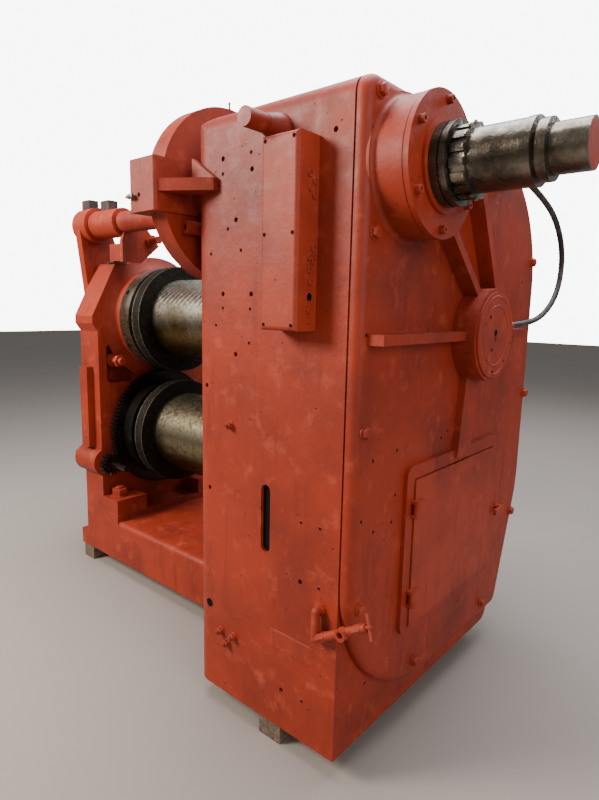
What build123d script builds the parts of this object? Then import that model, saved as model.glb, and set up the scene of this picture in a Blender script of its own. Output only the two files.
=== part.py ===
"""Forging roll machine: two driven rolls between an outboard bearing housing and a gear column.

Frame: X along the roll axes towards the drive shaft's free end, Y from the front to the back,
Z up, with the origin on the ground under the middle of the machine. All lengths in millimetres.
The bare coordinates below are taken from the column's lower front corner on its gear side:
"across" is along X from the gear side, "back" is along Y from the front face, and "up" is from
the machine's underside, which stands on timber packing.
"""

import math
import os

from build123d import *

os.makedirs("parts", exist_ok=True)

# Column casing
column_width = 740.0
column_depth = 1490.0
column_height = 2260.0
casing_foot_depth = 1300.0
casing_shoulder_height = 700.0
casing_bend_height = 1978.0
casing_top_depth = 1075.0
casing_back_radius = 560.0
casing_top_radius = 120.0
casing_foot_radius = 60.0
column_edge_radius = 38.0
column_corner_radius = 76.0
column_crown_radius = 120.0
column_hole_depth = 40.0
column_hole_radius = 9.0
column_holes = [
    (-502.0, 1882.0),
    (-502.0, 1404.0),
    (-67.0, 2110.0),
    (-652.0, 364.0),
    (-649.0, 861.0),
    (-664.0, 1272.0),
    (-570.0, 2096.0),
    (-423.0, 2043.0),
    (-571.0, 1622.0),
    (-423.0, 1622.0),
    (-248.0, 160.0),
    (-167.0, 622.0),
]
slot_across = -340.0
slot_up = 810.0
slot_length = 214.0
slot_width = 46.0

# Gear cover on the column's gear side
cover_thickness = 50.0
cover_bottom = 105.0
cover_corner_radius = 560.0
cover_top_radius = 60.0
cover_edge_radius = 32.0
cover_groove = 7.0

# Machine base and left housing
base_front = 377.0
base_height = 250.0
base_pad_height = 38.0
base_toe_reach = 76.0
base_toe_height = 100.0
base_edge_radius = 28.0
roll_gap = 1370.0
housing_width = 200.0
housing_front = 378.0
housing_shoulder = 1500.0
housing_shoulder_front = 510.0
housing_top = 1817.0
shoulder_overhang = 32.0
shoulder_thickness = 46.0
dome_radius = 385.0
dome_depth = 60.0
nose_hollow = 0.43
nose_length = 28.0
lower_boss_radius = 300.0
ledge_reach = 158.0
ledge_height = 95.0
ledge_depth = 210.0
guide_width = 84.0
guide_outset = 42.0
guide_reach = 40.0
guide_bottom = 690.0
guide_top = 1190.0
window_front = 430.0
window_back = 620.0
window_bottom = 1090.0
window_top = 1330.0
window_depth = 90.0
link_back = 476.0
link_up = 1230.0
link_radius = 22.0
link_nut_radius = 37.4
link_nut_length = 26.4
link_boss_radius = 40.0
link_reach = 110.0

# Rolls
roll_back = 797.0
upper_roll_up = 1485.0
roll_spacing = 700.0
roll_body_radius = 240.0
roll_flange_radius = 320.0
roll_flange_thickness = 70.0
roll_collar_radius = 290.0
roll_collar_length = 35.0
far_collar_length = 14.0
roll_neck_radius = 180.0
roll_neck_reach = 180.0
bush_ring_radius = 316.0
bush_ring_length = 96.0
bush_ring_stand = 74.0
column_ring_length = 23.0

# Adjusting gear of the lower roll's eccentric bush
gear_module = 8.0
gear_teeth = 92
pinion_teeth = 16
gear_face_width = 40.0
gear_backlash = 1.8
tooth_root_depth = 10.0
tooth_foot_depth = 12.0
tooth_tip_height = 6.8
tooth_foot_share = 1.65
tooth_tip_share = 0.55
bush_outer_radius = 230.0
bush_depth = 150.0
pinion_direction = 206.0
pinion_shaft_radius = 18.0
pinion_shaft_reach = 150.0
pinion_shaft_out = 150.0
pinion_boss_radius = 86.0
pinion_boss_reach = 30.0

# Drive shaft and its bearing cover
shaft_back = 240.0
shaft_up = 2018.0
shaft_radius = 92.0
shaft_stub_radius = 68.0
shaft_reach = 598.0
shaft_boss_radius = 216.0
shaft_boss_reach = 150.0
shaft_flare = 16.0
flange_radius = 218.0
flange_thickness = 22.0
flange_hub_radius = 142.0
flange_hub_length = 10.0
seal_ring_radius = 124.0
seal_ring_length = 51.0
lock_nut_radius = 107.0
lock_nut_length = 44.0
lock_nut_slots = 16
shaft_collar_start = 436.0
shaft_collar_length = 24.0
shaft_collar_rise = 2.0
shaft_lip_start = 470.0
shaft_lip_end = 496.0
shaft_lip_radius = 84.0
flange_groove = 4.0
seal_groove = 7.0
nut_slot_depth = 8.0
nut_slot_width = 16.0

# Centre boss, ribs and door on the cover
boss_radius = 184.0
boss_reach = 95.0
boss_plate_thickness = 8.0
boss_plate_step = 14.0
boss_slot_length = 34.0
boss_slot_width = 12.0
rib_thickness = 34.0
rib_reach = 62.0
left_rib_start = 36.0
right_rib_end = 1240.0
slanted_rib_start = (365.0, 1940.0)
slanted_rib_end = (716.0, 1640.0)
upright_rib_start = (640.0, 2110.0)
upright_rib_end = (872.0, 1678.0)
web_foot_back = 735.0
web_width = 120.0
web_reach = 30.0
door_left = 366.0
door_right = 1077.0
door_bottom = 388.0
door_top = 965.0
door_frame_width = 56.0
door_sill = 26.0
door_frame_reach = 16.0
door_depth = 14.0
door_proud = 5.0
door_gap = 5.0
door_corner_radius = 40.0
hinge_radius = 15.0
hinge_pin_radius = 7.0
hinge_set_back = 5.0
hinge_length = 40.0
hinge_heights = [508.0, 860.0]
hinge_ear = 12.0
hinge_leaf = 70.0
hinge_leaf_thickness = 8.0
catch_up = 640.0
catch_radius = 16.0
catch_length = 90.0
catch_width = 26.0
catch_stand = 14.0
catch_set_back = 80.0

# Brake drum housing on the column's roll side, in line with the drive shaft
drum_radius = 345.0
drum_width = 90.0
drum_rim_radius = 325.0
drum_rim_depth = 12.0
drum_neck_length = 50.0
drum_neck_radius = 200.0
block_front = -146.0
block_depth = 206.0
block_width = 162.0
block_height = 192.0
block_proud = 10.0
block_edge_radius = 14.0
lug_reach = 143.0
lug_web_inset = 20.0
lug_web_thickness = 20.0
lug_rib_drop = 28.0
lug_rib_thickness = 44.0
lug_rib_end = 22.0
port_across = -772.0
port_drop = 144.0
port_radius = 26.0
port_bore_radius = 13.0
port_front = -18.0

# Front box, trunnion and drain
box_width = 155.0
box_right = 127.0
box_depth = 100.0
box_bottom = 1505.0
box_top = 2102.0
trunnion_radius = 30.0
trunnion_reach = 161.0
trunnion_across = -296.0
trunnion_up = 2150.0
trunnion_collar_reach = 70.0
trunnion_collar_radius = 31.0
trunnion_taper = 14.0
drain_across = -72.0
drain_up = 556.0
drain_low = 456.0
drain_out = 26.0
drain_pipe_radius = 15.0
drain_flange_radius = 21.0
drain_flange_thickness = 10.0
drain_slope = 31.0
drain_length = 240.0
drain_tee_place = 140.0
drain_tee_radius = 21.0
drain_tee_bore_radius = 12.0
drain_tee_reach = 26.0
drain_nut_width = 36.0
drain_nut_radius = 18.0
valve_spindle_radius = 7.0
valve_spindle_depth = 30.0
valve_spindle_reach = 22.0
valve_bar_radius = 5.0
valve_bar_length = 84.0
valve_turn = 20.0

# Cross tube and its cheeks over the left housing
tube_back = 500.0
tube_up = 2044.0
tube_radius = 82.0
tube_neck_radius = 60.0
tube_collar_radius = 104.0
tube_collar_length = 32.0
tube_collar_edge = 5.0
outer_cheek_thickness = 58.0
cheek_hub_length = 59.0
cheek_thickness = 28.0
cheek_lap = 210.0
cheek_foot_front = 448.0
cheek_foot_back = 690.0
stay_gap = 125.0
stay_front = 466.0
stay_back = 720.0
foot_front = 500.0
foot_depth = 92.0
foot_lap = 40.0
foot_height = 110.0
foot_step_width = 34.0
foot_step_height = 34.0
foot_shim_thickness = 10.0
stay_bolt_back = 655.0
stay_bolt_up = 1952.0
stay_bolt_radius = 22.0
stay_nut_radius = 37.4
stay_bolt_reach = 92.0
sensor_length = 88.0
sensor_width = 60.0
sensor_height = 50.0
sensor_spacing = 215.0

# Oil hose and its fittings
hose_radius = 13.0
hose_top_across = 150.0
hose_top_back = 1040.0
hose_top_up = 2100.0
hose_end_across = 128.5
hose_end_back = 1016.0
hose_end_up = 1522.0
fitting_radius = 22.0
fitting_length = 34.0
fitting_wall = 3.0
bend_share = 0.45

# Timber packing
packing_height = 85.0
packing_width = 110.0
packing_front = 10.0
packing_length = 1280.0
packing_right = -260.0
packing_left_inset = 60.0

# Clearances
running_fit = 0.06
moving_gap = 5.0
seat_gap = 0.3

# Worked-out places
housing_face = -(column_width + roll_gap)
housing_outer = housing_face - housing_width
left_reach = pinion_shaft_out - housing_outer
face_x = (left_reach - shaft_reach) / 2
front_y = (trunnion_reach - column_depth) / 2
lower_roll_up = upper_roll_up - roll_spacing
housing_back = 2 * roll_back - housing_front
base_back = 2 * roll_back - base_front
housing_bottom = base_height + base_pad_height
gear_start = housing_face + bush_ring_stand - gear_face_width
gear_end = gear_start + gear_face_width
ring_end = gear_end + bush_ring_length
gear_pitch_radius = gear_module * gear_teeth / 2
pinion_pitch_radius = gear_module * pinion_teeth / 2
gear_spacing = gear_pitch_radius + pinion_pitch_radius
pinion_back = roll_back + gear_spacing * math.cos(math.radians(pinion_direction))
pinion_up = lower_roll_up + gear_spacing * math.sin(math.radians(pinion_direction))
frame_left = door_left - door_frame_width
frame_right = door_right + door_frame_width
frame_bottom = door_bottom - door_sill
frame_top = door_top + door_frame_width
door_face = cover_thickness + door_frame_reach
hinge_across = door_face + door_proud + hinge_radius
hinge_back = door_left - door_gap - hinge_set_back
catch_back = frame_right + catch_set_back

# Ribs of the gear cover: start and end in the side plane, thickness and reach
cover_ribs = [
    ((left_rib_start, upper_roll_up), (roll_back, upper_roll_up), rib_thickness, rib_reach),
    (slanted_rib_start, slanted_rib_end, rib_thickness, rib_reach),
    (upright_rib_start, upright_rib_end, rib_thickness, rib_reach),
    ((roll_back, upper_roll_up), (right_rib_end, upper_roll_up), rib_thickness, rib_reach),
    ((roll_back, upper_roll_up), (web_foot_back, frame_top - rib_thickness), web_width, web_reach),
]


def side_plane(across):
    """Plane facing +X at a place across from the gear side; its axes are back and up."""
    return Plane(origin=(face_x + across, front_y, packing_height), x_dir=(0, 1, 0), z_dir=(1, 0, 0))


def front_plane(back):
    """Plane facing the front at a distance back from the front face; its axes are across and up."""
    return Plane(origin=(face_x, front_y + back, packing_height), x_dir=(1, 0, 0), z_dir=(0, -1, 0))


def level_plane(up):
    """Plane facing up at a height over the underside; its axes are across and back."""
    return Plane(origin=(face_x, front_y, packing_height + up), x_dir=(1, 0, 0), z_dir=(0, 0, 1))


def write_piece(builder, name):
    """Label a finished piece and write it to its own STEP file."""
    builder.part.label = name
    export_step(builder.part, f"parts/{name}.step")


def add_outline(points, radii):
    """Face of a polygon whose corners are rounded by the given radii, in the open sketch."""
    with BuildLine() as outline:
        FilletPolyline(*points, radius=radii, close=True)
    make_face(outline.edges())


# Column body: closed casing with the two roll bores on its roll side
casing_back_points = [
    (casing_foot_depth, 0),
    (column_depth, casing_shoulder_height),
    (column_depth, casing_bend_height),
    (casing_top_depth, column_height),
]
casing_back_radii = [casing_foot_radius, casing_back_radius, casing_back_radius, casing_top_radius]
column_ring_face = -column_width - column_ring_length

with BuildPart() as column_body:
    with BuildSketch(side_plane(-column_width)):
        column_points = [(0, 0)] + casing_back_points + [(0, column_height)]
        add_outline(column_points, [0] + casing_back_radii + [cover_top_radius])
    extrude(amount=column_width)
    with BuildSketch(front_plane(0)):
        crown_points = [(-column_width, 0), (0, 0), (0, column_height), (-column_width, column_height)]
        add_outline(crown_points, [0, 0, 0, column_crown_radius])
    extrude(amount=-column_depth, mode=Mode.INTERSECT)
    with BuildSketch(level_plane(0)):
        corner_points = [(-column_width, 0), (0, 0), (0, column_depth), (-column_width, column_depth)]
        add_outline(corner_points, [column_corner_radius, 0, 0, column_edge_radius])
    extrude(amount=column_height, mode=Mode.INTERSECT)
    with BuildSketch(side_plane(-column_width)):
        with Locations((roll_back, upper_roll_up), (roll_back, lower_roll_up)):
            Circle(roll_neck_radius + running_fit)
    extrude(amount=roll_neck_reach, mode=Mode.SUBTRACT)
    with BuildSketch(front_plane(0)):
        with Locations((slot_across, slot_up)):
            SlotCenterToCenter(slot_length, slot_width, rotation=90)
        for across, up in column_holes:
            with Locations((across, up)):
                Circle(column_hole_radius)
    extrude(amount=-column_hole_depth, mode=Mode.SUBTRACT)
write_piece(column_body, "column_body")

# Gear cover: plate with rounded rim, shaft boss, centre boss, ribs and door frame
cover_front_points = [(0, cover_bottom), (casing_foot_depth, cover_bottom)] + casing_back_points[1:]
cover_radii = [cover_corner_radius] + casing_back_radii + [cover_top_radius]
cover_points = cover_front_points + [(0, column_height)]

with BuildPart() as cover_space:
    with BuildSketch(side_plane(0)):
        add_outline(cover_points, cover_radii)
    extrude(amount=shaft_boss_reach + cover_thickness)

with BuildPart() as shaft_boss:
    with BuildSketch(front_plane(shaft_back)):
        with BuildLine():
            Polyline(
                (cover_groove, shaft_up),
                (cover_groove, shaft_up + shaft_boss_radius + shaft_flare),
                (cover_thickness, shaft_up + shaft_boss_radius + shaft_flare),
            )
            flare_start = (cover_thickness + shaft_flare, shaft_up + shaft_boss_radius)
            RadiusArc((cover_thickness, shaft_up + shaft_boss_radius + shaft_flare), flare_start, -shaft_flare)
            Polyline(
                flare_start,
                (shaft_boss_reach, shaft_up + shaft_boss_radius),
                (shaft_boss_reach, shaft_up),
                (cover_groove, shaft_up),
            )
        make_face()
    shaft_line = Axis((face_x, front_y + shaft_back, packing_height + shaft_up), (1, 0, 0))
    revolve(axis=shaft_line)
    add(cover_space.part, mode=Mode.INTERSECT)

with BuildPart() as gear_cover:
    with BuildSketch(side_plane(0)):
        add_outline(cover_points, cover_radii)
        offset(amount=-cover_groove, mode=Mode.REPLACE)
    extrude(amount=cover_groove)
    with BuildSketch(side_plane(cover_groove)):
        add_outline(cover_points, cover_radii)
    extrude(amount=cover_thickness - cover_groove)
    rim = gear_cover.faces().filter_by(Axis.X).sort_by(Axis.X)[-1]
    fillet(rim.edges(), cover_edge_radius)
    add(shaft_boss.part)
    with BuildSketch(side_plane(cover_groove)):
        with Locations((roll_back, upper_roll_up)):
            Circle(boss_radius)
    extrude(amount=boss_reach + cover_thickness - cover_groove)
    for start, end, width, reach in cover_ribs:
        with BuildSketch(side_plane(cover_groove)):
            rib_length = math.dist(start, end)
            rib_turn = math.degrees(math.atan2(end[1] - start[1], end[0] - start[0]))
            middle = ((start[0] + end[0]) / 2, (start[1] + end[1]) / 2)
            with Locations(middle):
                Rectangle(rib_length, width, rotation=rib_turn)
        extrude(amount=reach + cover_thickness - cover_groove)
    with BuildSketch(side_plane(cover_groove)):
        with Locations(((frame_left + frame_right) / 2, (frame_bottom + frame_top) / 2)):
            RectangleRounded(frame_right - frame_left, frame_top - frame_bottom, door_corner_radius)
    extrude(amount=cover_thickness + door_frame_reach - cover_groove)
    with BuildSketch(side_plane(door_face)):
        with Locations(((door_left + door_right) / 2, (door_bottom + door_top) / 2)):
            Rectangle(door_right - door_left + 2 * door_gap, door_top - door_bottom + 2 * door_gap)
    extrude(amount=-door_depth - seat_gap, mode=Mode.SUBTRACT)
    with BuildSketch(side_plane(shaft_boss_reach)):
        with Locations((shaft_back, shaft_up)):
            Circle(shaft_radius + running_fit)
    extrude(amount=-shaft_boss_reach, mode=Mode.SUBTRACT)
write_piece(gear_cover, "gear_cover")

# Door on the cover, its hinges and its catch
with BuildPart() as inspection_door:
    with BuildSketch(side_plane(door_face - door_depth)):
        with Locations(((door_left + door_right) / 2, (door_bottom + door_top) / 2)):
            Rectangle(door_right - door_left, door_top - door_bottom)
    extrude(amount=door_depth + door_proud)
    for up in hinge_heights:
        with BuildSketch(level_plane(up - hinge_length / 2)):
            with Locations((hinge_across, hinge_back)):
                Circle(hinge_radius)
            with Locations((door_face + door_proud, hinge_back)):
                Rectangle(hinge_leaf_thickness, hinge_leaf, align=(Align.MIN, Align.MIN))
            with Locations((hinge_across, hinge_back)):
                Circle(hinge_pin_radius + running_fit, mode=Mode.SUBTRACT)
        extrude(amount=hinge_length)
write_piece(inspection_door, "inspection_door")

with BuildPart() as door_hinges:
    for up in hinge_heights:
        for end in (-1, 1):
            ear_middle = up + end * (hinge_length / 2 + seat_gap + hinge_ear / 2)
            with BuildSketch(level_plane(ear_middle - hinge_ear / 2)):
                with Locations((hinge_across, hinge_back)):
                    Circle(hinge_radius)
                with Locations((door_face, hinge_back)):
                    Rectangle(hinge_across - door_face, hinge_radius, align=(Align.MIN, Align.MAX))
            extrude(amount=hinge_ear)
        pin_length = hinge_length + 2 * (seat_gap + hinge_ear)
        with BuildSketch(level_plane(up - pin_length / 2)):
            with Locations((hinge_across, hinge_back)):
                Circle(hinge_pin_radius)
        extrude(amount=pin_length)
write_piece(door_hinges, "door_hinges")

with BuildPart() as door_catch:
    with BuildSketch(side_plane(cover_thickness)):
        with Locations((catch_back, catch_up)):
            Circle(catch_radius)
    extrude(amount=door_frame_reach + door_proud + moving_gap + catch_stand)
    with BuildSketch(side_plane(door_face + door_proud + moving_gap)):
        with Locations((catch_back, catch_up)):
            Rectangle(catch_length, catch_width, align=(Align.MAX, Align.CENTER))
    extrude(amount=catch_stand)
write_piece(door_catch, "door_catch")

# Bearing cover of the drive shaft, seal ring, shaft and lock nut
flange_face = shaft_boss_reach + flange_thickness
hub_face = flange_face + flange_hub_length
seal_face = hub_face + seal_ring_length
nut_start = seal_face + moving_gap

with BuildPart() as shaft_flange:
    for start, length, radius in (
        (shaft_boss_reach, flange_groove, flange_radius - flange_groove),
        (shaft_boss_reach + flange_groove, flange_thickness - flange_groove, flange_radius),
        (flange_face, flange_hub_length, flange_hub_radius),
    ):
        with BuildSketch(side_plane(start)):
            with Locations((shaft_back, shaft_up)):
                Circle(radius)
                Circle(shaft_radius + running_fit, mode=Mode.SUBTRACT)
        extrude(amount=length)
write_piece(shaft_flange, "shaft_flange")

with BuildPart() as seal_ring:
    with BuildSketch(side_plane(hub_face)):
        with Locations((shaft_back, shaft_up)):
            Circle(seal_ring_radius)
            Circle(shaft_radius + running_fit, mode=Mode.SUBTRACT)
    extrude(amount=seal_ring_length)
    with BuildSketch(side_plane(hub_face + seal_ring_length / 2)):
        with Locations((shaft_back, shaft_up)):
            Circle(seal_ring_radius)
            Circle(seal_ring_radius - seal_groove, mode=Mode.SUBTRACT)
    extrude(amount=seal_groove, mode=Mode.SUBTRACT)
write_piece(seal_ring, "seal_ring")

with BuildPart() as drive_shaft:
    for start, end, radius in (
        (seat_gap, shaft_collar_start, shaft_radius),
        (shaft_collar_start, shaft_collar_start + shaft_collar_length, shaft_radius + shaft_collar_rise),
        (shaft_collar_start + shaft_collar_length, shaft_lip_start, shaft_stub_radius),
        (shaft_lip_start, shaft_lip_end, shaft_lip_radius),
        (shaft_lip_end, shaft_reach, shaft_stub_radius),
    ):
        with BuildSketch(side_plane(start)):
            with Locations((shaft_back, shaft_up)):
                Circle(radius)
        extrude(amount=end - start)
write_piece(drive_shaft, "drive_shaft")

with BuildPart() as lock_nut:
    with BuildSketch(side_plane(nut_start)):
        with Locations((shaft_back, shaft_up)):
            Circle(lock_nut_radius)
            with PolarLocations(lock_nut_radius, lock_nut_slots):
                Rectangle(2 * nut_slot_depth, nut_slot_width, mode=Mode.SUBTRACT)
            Circle(shaft_radius, mode=Mode.SUBTRACT)
    extrude(amount=lock_nut_length)
write_piece(lock_nut, "lock_nut")

# Plate on the centre boss, over the end of the upper roll's shaft
with BuildPart() as boss_plate:
    with BuildSketch(side_plane(cover_thickness + boss_reach)):
        with Locations((roll_back, upper_roll_up)):
            Circle(boss_radius - boss_plate_step)
            SlotCenterToCenter(boss_slot_length, boss_slot_width, rotation=90, mode=Mode.SUBTRACT)
    extrude(amount=boss_plate_thickness)
write_piece(boss_plate, "boss_plate")

# Base: long bed with a raised pad under the left housing and a toe at its end
pad_end = housing_face + ledge_reach

with BuildPart() as base_frame:
    with BuildSketch(front_plane(base_front)):
        with BuildLine():
            Polyline(
                (housing_outer - base_toe_reach, 0),
                (-column_width, 0),
                (-column_width, base_height),
                (pad_end, base_height),
                (pad_end, housing_bottom),
                (housing_outer, housing_bottom),
                (housing_outer, base_toe_height),
                (housing_outer - base_toe_reach, base_toe_height),
                close=True,
            )
        make_face()
    extrude(amount=base_front - base_back)
    bed_top = base_frame.faces().filter_by(Axis.Z).sort_by(SortBy.AREA)[-2:].sort_by(Axis.Z)[-1]
    fillet(bed_top.edges().filter_by(Axis.X), base_edge_radius)
write_piece(base_frame, "base_frame")

# Left housing: upright casting with shoulders, roll bosses, foot ledges and pinion boss
shoulder_front = housing_front - shoulder_overhang
half_outline = [
    (housing_front, housing_bottom),
    (housing_front, housing_shoulder - 2 * shoulder_thickness),
    (shoulder_front, housing_shoulder - shoulder_thickness),
    (shoulder_front, housing_shoulder),
    (housing_shoulder_front, housing_top),
]
half_radii = [0, shoulder_overhang / 2, shoulder_overhang / 4, shoulder_overhang / 2, shoulder_overhang]
mirrored_outline = [(2 * roll_back - back, up) for back, up in reversed(half_outline)]

with BuildPart() as left_housing:
    with BuildSketch(side_plane(housing_outer)):
        add_outline(half_outline + mirrored_outline, half_radii + half_radii[::-1])
    extrude(amount=housing_width)
    with BuildSketch(side_plane(housing_face - housing_width + dome_depth)):
        with Locations((roll_back, upper_roll_up)):
            Circle(dome_radius)
    extrude(amount=housing_width - dome_depth)
    with BuildSketch(front_plane(roll_back)):
        with BuildLine():
            nose_start = (housing_face, upper_roll_up + dome_radius)
            nose_end = (housing_face + nose_length, upper_roll_up + bush_ring_radius)
            nose_middle = (
                housing_face + nose_length * nose_hollow,
                upper_roll_up + bush_ring_radius + (dome_radius - bush_ring_radius) * nose_hollow,
            )
            ThreePointArc(nose_start, nose_middle, nose_end)
            Polyline(
                nose_end,
                (gear_end, upper_roll_up + bush_ring_radius),
                (gear_end, upper_roll_up),
                (housing_face, upper_roll_up),
                nose_start,
            )
        make_face()
    revolve(axis=Axis((face_x, front_y + roll_back, packing_height + upper_roll_up), (1, 0, 0)))
    with BuildSketch(side_plane(housing_face)):
        with Locations((roll_back, lower_roll_up)):
            Circle(lower_boss_radius)
    extrude(amount=gear_start - moving_gap - housing_face)
    for ledge_back in (housing_front, housing_back - ledge_depth):
        with BuildSketch(side_plane(housing_face)):
            with Locations((ledge_back, housing_bottom)):
                Rectangle(ledge_depth, ledge_height, align=(Align.MIN, Align.MIN))
        extrude(amount=ledge_reach)
    with BuildSketch(side_plane(housing_outer - pinion_boss_reach)):
        with Locations((pinion_back, pinion_up)):
            Circle(pinion_boss_radius)
    extrude(amount=housing_width + pinion_boss_reach)
    with BuildSketch(front_plane(housing_front - guide_reach)):
        with Locations((housing_outer + guide_outset, guide_bottom)):
            Rectangle(guide_width, guide_top - guide_bottom, align=(Align.MIN, Align.MIN))
    extrude(amount=-guide_reach)
    with BuildSketch(side_plane(housing_face)):
        with Locations(((window_front + window_back) / 2, (window_bottom + window_top) / 2)):
            RectangleRounded(window_back - window_front, window_top - window_bottom, shoulder_overhang)
    extrude(amount=-window_depth, mode=Mode.SUBTRACT)
    with BuildSketch(side_plane(housing_face - window_depth)):
        with Locations((link_back, link_up)):
            Circle(link_boss_radius)
    extrude(amount=window_depth)
    with BuildSketch(side_plane(housing_face - roll_neck_reach)):
        with Locations((roll_back, upper_roll_up)):
            Circle(roll_neck_radius + running_fit)
    extrude(amount=roll_neck_reach + bush_ring_stand, mode=Mode.SUBTRACT)
    with BuildSketch(side_plane(housing_face - roll_neck_reach)):
        with Locations((roll_back, lower_roll_up)):
            Circle(bush_outer_radius + running_fit)
    extrude(amount=roll_neck_reach + bush_ring_stand, mode=Mode.SUBTRACT)
    with BuildSketch(side_plane(gear_start)):
        with Locations((pinion_back, pinion_up)):
            Circle(pinion_shaft_radius + running_fit)
    extrude(amount=-2 * housing_width, mode=Mode.SUBTRACT)
write_piece(left_housing, "left_housing")

# Threaded link between the bearing blocks, in the housing's window
with BuildPart() as link_stud:
    with BuildSketch(side_plane(housing_face)):
        with Locations((link_back, link_up)):
            Circle(link_radius)
    extrude(amount=link_reach)
    with BuildSketch(side_plane(housing_face + link_reach / 2)):
        with Locations((link_back, link_up)):
            RegularPolygon(link_nut_radius, 6)
    extrude(amount=link_nut_length)
write_piece(link_stud, "link_stud")

# Bush rings at both ends of the rolls
for ring_name, ring_up, ring_start, ring_length in (
    ("upper_bush_ring", upper_roll_up, gear_end, bush_ring_length),
    ("upper_column_ring", upper_roll_up, column_ring_face, column_ring_length),
    ("lower_column_ring", lower_roll_up, column_ring_face, column_ring_length),
):
    with BuildPart() as bush_ring:
        with BuildSketch(side_plane(ring_start)):
            with Locations((roll_back, ring_up)):
                Circle(bush_ring_radius)
                Circle(roll_neck_radius + running_fit, mode=Mode.SUBTRACT)
        extrude(amount=ring_length)
    write_piece(bush_ring, ring_name)

# Rolls: neck, collar, rim flange, body and the same again at the column
for roll_name, roll_up in (("upper_roll", upper_roll_up), ("lower_roll", lower_roll_up)):
    neck_start = housing_face - roll_neck_reach + moving_gap
    collar_start = ring_end + moving_gap
    rim_start = collar_start + roll_collar_length
    body_start = rim_start + roll_flange_thickness
    far_collar_end = column_ring_face - moving_gap
    far_rim_end = far_collar_end - far_collar_length
    body_end = far_rim_end - roll_flange_thickness
    neck_end = -column_width + roll_neck_reach - moving_gap
    with BuildPart() as roll:
        for start, end, radius in (
            (neck_start, collar_start, roll_neck_radius),
            (collar_start, rim_start, roll_collar_radius),
            (rim_start, body_start, roll_flange_radius),
            (body_start, body_end, roll_body_radius),
            (body_end, far_rim_end, roll_flange_radius),
            (far_rim_end, far_collar_end, roll_collar_radius),
            (far_collar_end, neck_end, roll_neck_radius),
        ):
            with BuildSketch(side_plane(start)):
                with Locations((roll_back, roll_up)):
                    Circle(radius)
            extrude(amount=end - start)
    write_piece(roll, roll_name)


def tooth_outline(pitch_radius, direction):
    """Corners of one gear tooth whose middle points in the given direction, in degrees."""
    half_pitch = math.pi * gear_module / 4 - gear_backlash / 2
    steps = (
        (-tooth_foot_depth, tooth_foot_share),
        (0, 1.0),
        (tooth_tip_height, tooth_tip_share),
    )
    corners = []
    for side in (-1, 1):
        row = []
        for rise, share in steps:
            radius = pitch_radius + rise
            turn = math.radians(direction) + side * half_pitch * share / radius
            row.append((radius * math.cos(turn), radius * math.sin(turn)))
        corners += row if side < 0 else row[::-1]
    return corners


# Eccentric bush of the lower roll with its adjusting gear
with BuildPart() as eccentric_bush:
    with BuildSketch(side_plane(housing_face - bush_depth)):
        with Locations((roll_back, lower_roll_up)):
            Circle(bush_outer_radius)
            Circle(roll_neck_radius + running_fit, mode=Mode.SUBTRACT)
    extrude(amount=gear_end - housing_face + bush_depth)
    with BuildSketch(side_plane(gear_end)):
        with Locations((roll_back, lower_roll_up)):
            Circle(bush_ring_radius)
            Circle(roll_neck_radius + running_fit, mode=Mode.SUBTRACT)
    extrude(amount=bush_ring_length)
write_piece(eccentric_bush, "eccentric_bush")

with BuildPart() as adjusting_gear:
    with BuildSketch(side_plane(gear_start)):
        with Locations((roll_back, lower_roll_up)):
            Circle(gear_pitch_radius - tooth_root_depth)
            for tooth in range(gear_teeth):
                Polygon(
                    *tooth_outline(gear_pitch_radius, pinion_direction + tooth * 360 / gear_teeth),
                    align=None,
                )
            Circle(bush_outer_radius, mode=Mode.SUBTRACT)
    extrude(amount=gear_face_width)
write_piece(adjusting_gear, "adjusting_gear")

with BuildPart() as adjusting_pinion:
    with BuildSketch(side_plane(gear_start)):
        with Locations((pinion_back, pinion_up)):
            Circle(pinion_pitch_radius - tooth_root_depth)
            for tooth in range(pinion_teeth):
                Polygon(
                    *tooth_outline(
                        pinion_pitch_radius,
                        pinion_direction + 180 + (tooth + 0.5) * 360 / pinion_teeth,
                    ),
                    align=None,
                )
    extrude(amount=gear_face_width)
    with BuildSketch(side_plane(housing_outer - pinion_shaft_out)):
        with Locations((pinion_back, pinion_up)):
            Circle(pinion_shaft_radius)
    extrude(amount=pinion_shaft_out + housing_width + bush_ring_stand + pinion_shaft_reach)
write_piece(adjusting_pinion, "adjusting_pinion")

# Brake drum housing with its neck, torque block and oil port
drum_face = -column_width - drum_neck_length
drum_back_face = drum_face - drum_width
block_face = drum_face + block_proud
block_bottom = shaft_up - block_height / 2
port_up = shaft_up - port_drop

with BuildPart() as drum_housing:
    for start, length, radius in (
        (drum_back_face, drum_width, drum_radius),
        (drum_face, drum_neck_length, drum_neck_radius),
    ):
        with BuildSketch(side_plane(start)):
            with Locations((shaft_back, shaft_up)):
                Circle(radius)
        extrude(amount=length)
    with BuildSketch(side_plane(block_face - block_width)):
        with Locations((block_front, block_bottom)):
            Rectangle(block_depth, block_height, align=(Align.MIN, Align.MIN))
    extrude(amount=block_width)
    block_edges = drum_housing.edges().filter_by(Axis.Z).filter_by_position(
        Axis.Y, front_y + block_front - moving_gap, front_y + block_front + moving_gap
    )
    fillet(block_edges, block_edge_radius)
    with BuildSketch(front_plane(port_front)):
        with Locations((port_across, port_up)):
            Circle(port_radius)
    extrude(amount=port_front - shaft_back)
    with BuildSketch(front_plane(port_front)):
        with Locations((port_across, port_up)):
            Circle(port_bore_radius)
    extrude(amount=-port_radius * 2, mode=Mode.SUBTRACT)
    with BuildSketch(side_plane(drum_back_face)):
        with Locations((shaft_back, shaft_up)):
            Circle(drum_rim_radius)
    extrude(amount=drum_rim_depth, mode=Mode.SUBTRACT)
write_piece(drum_housing, "drum_housing")

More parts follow.
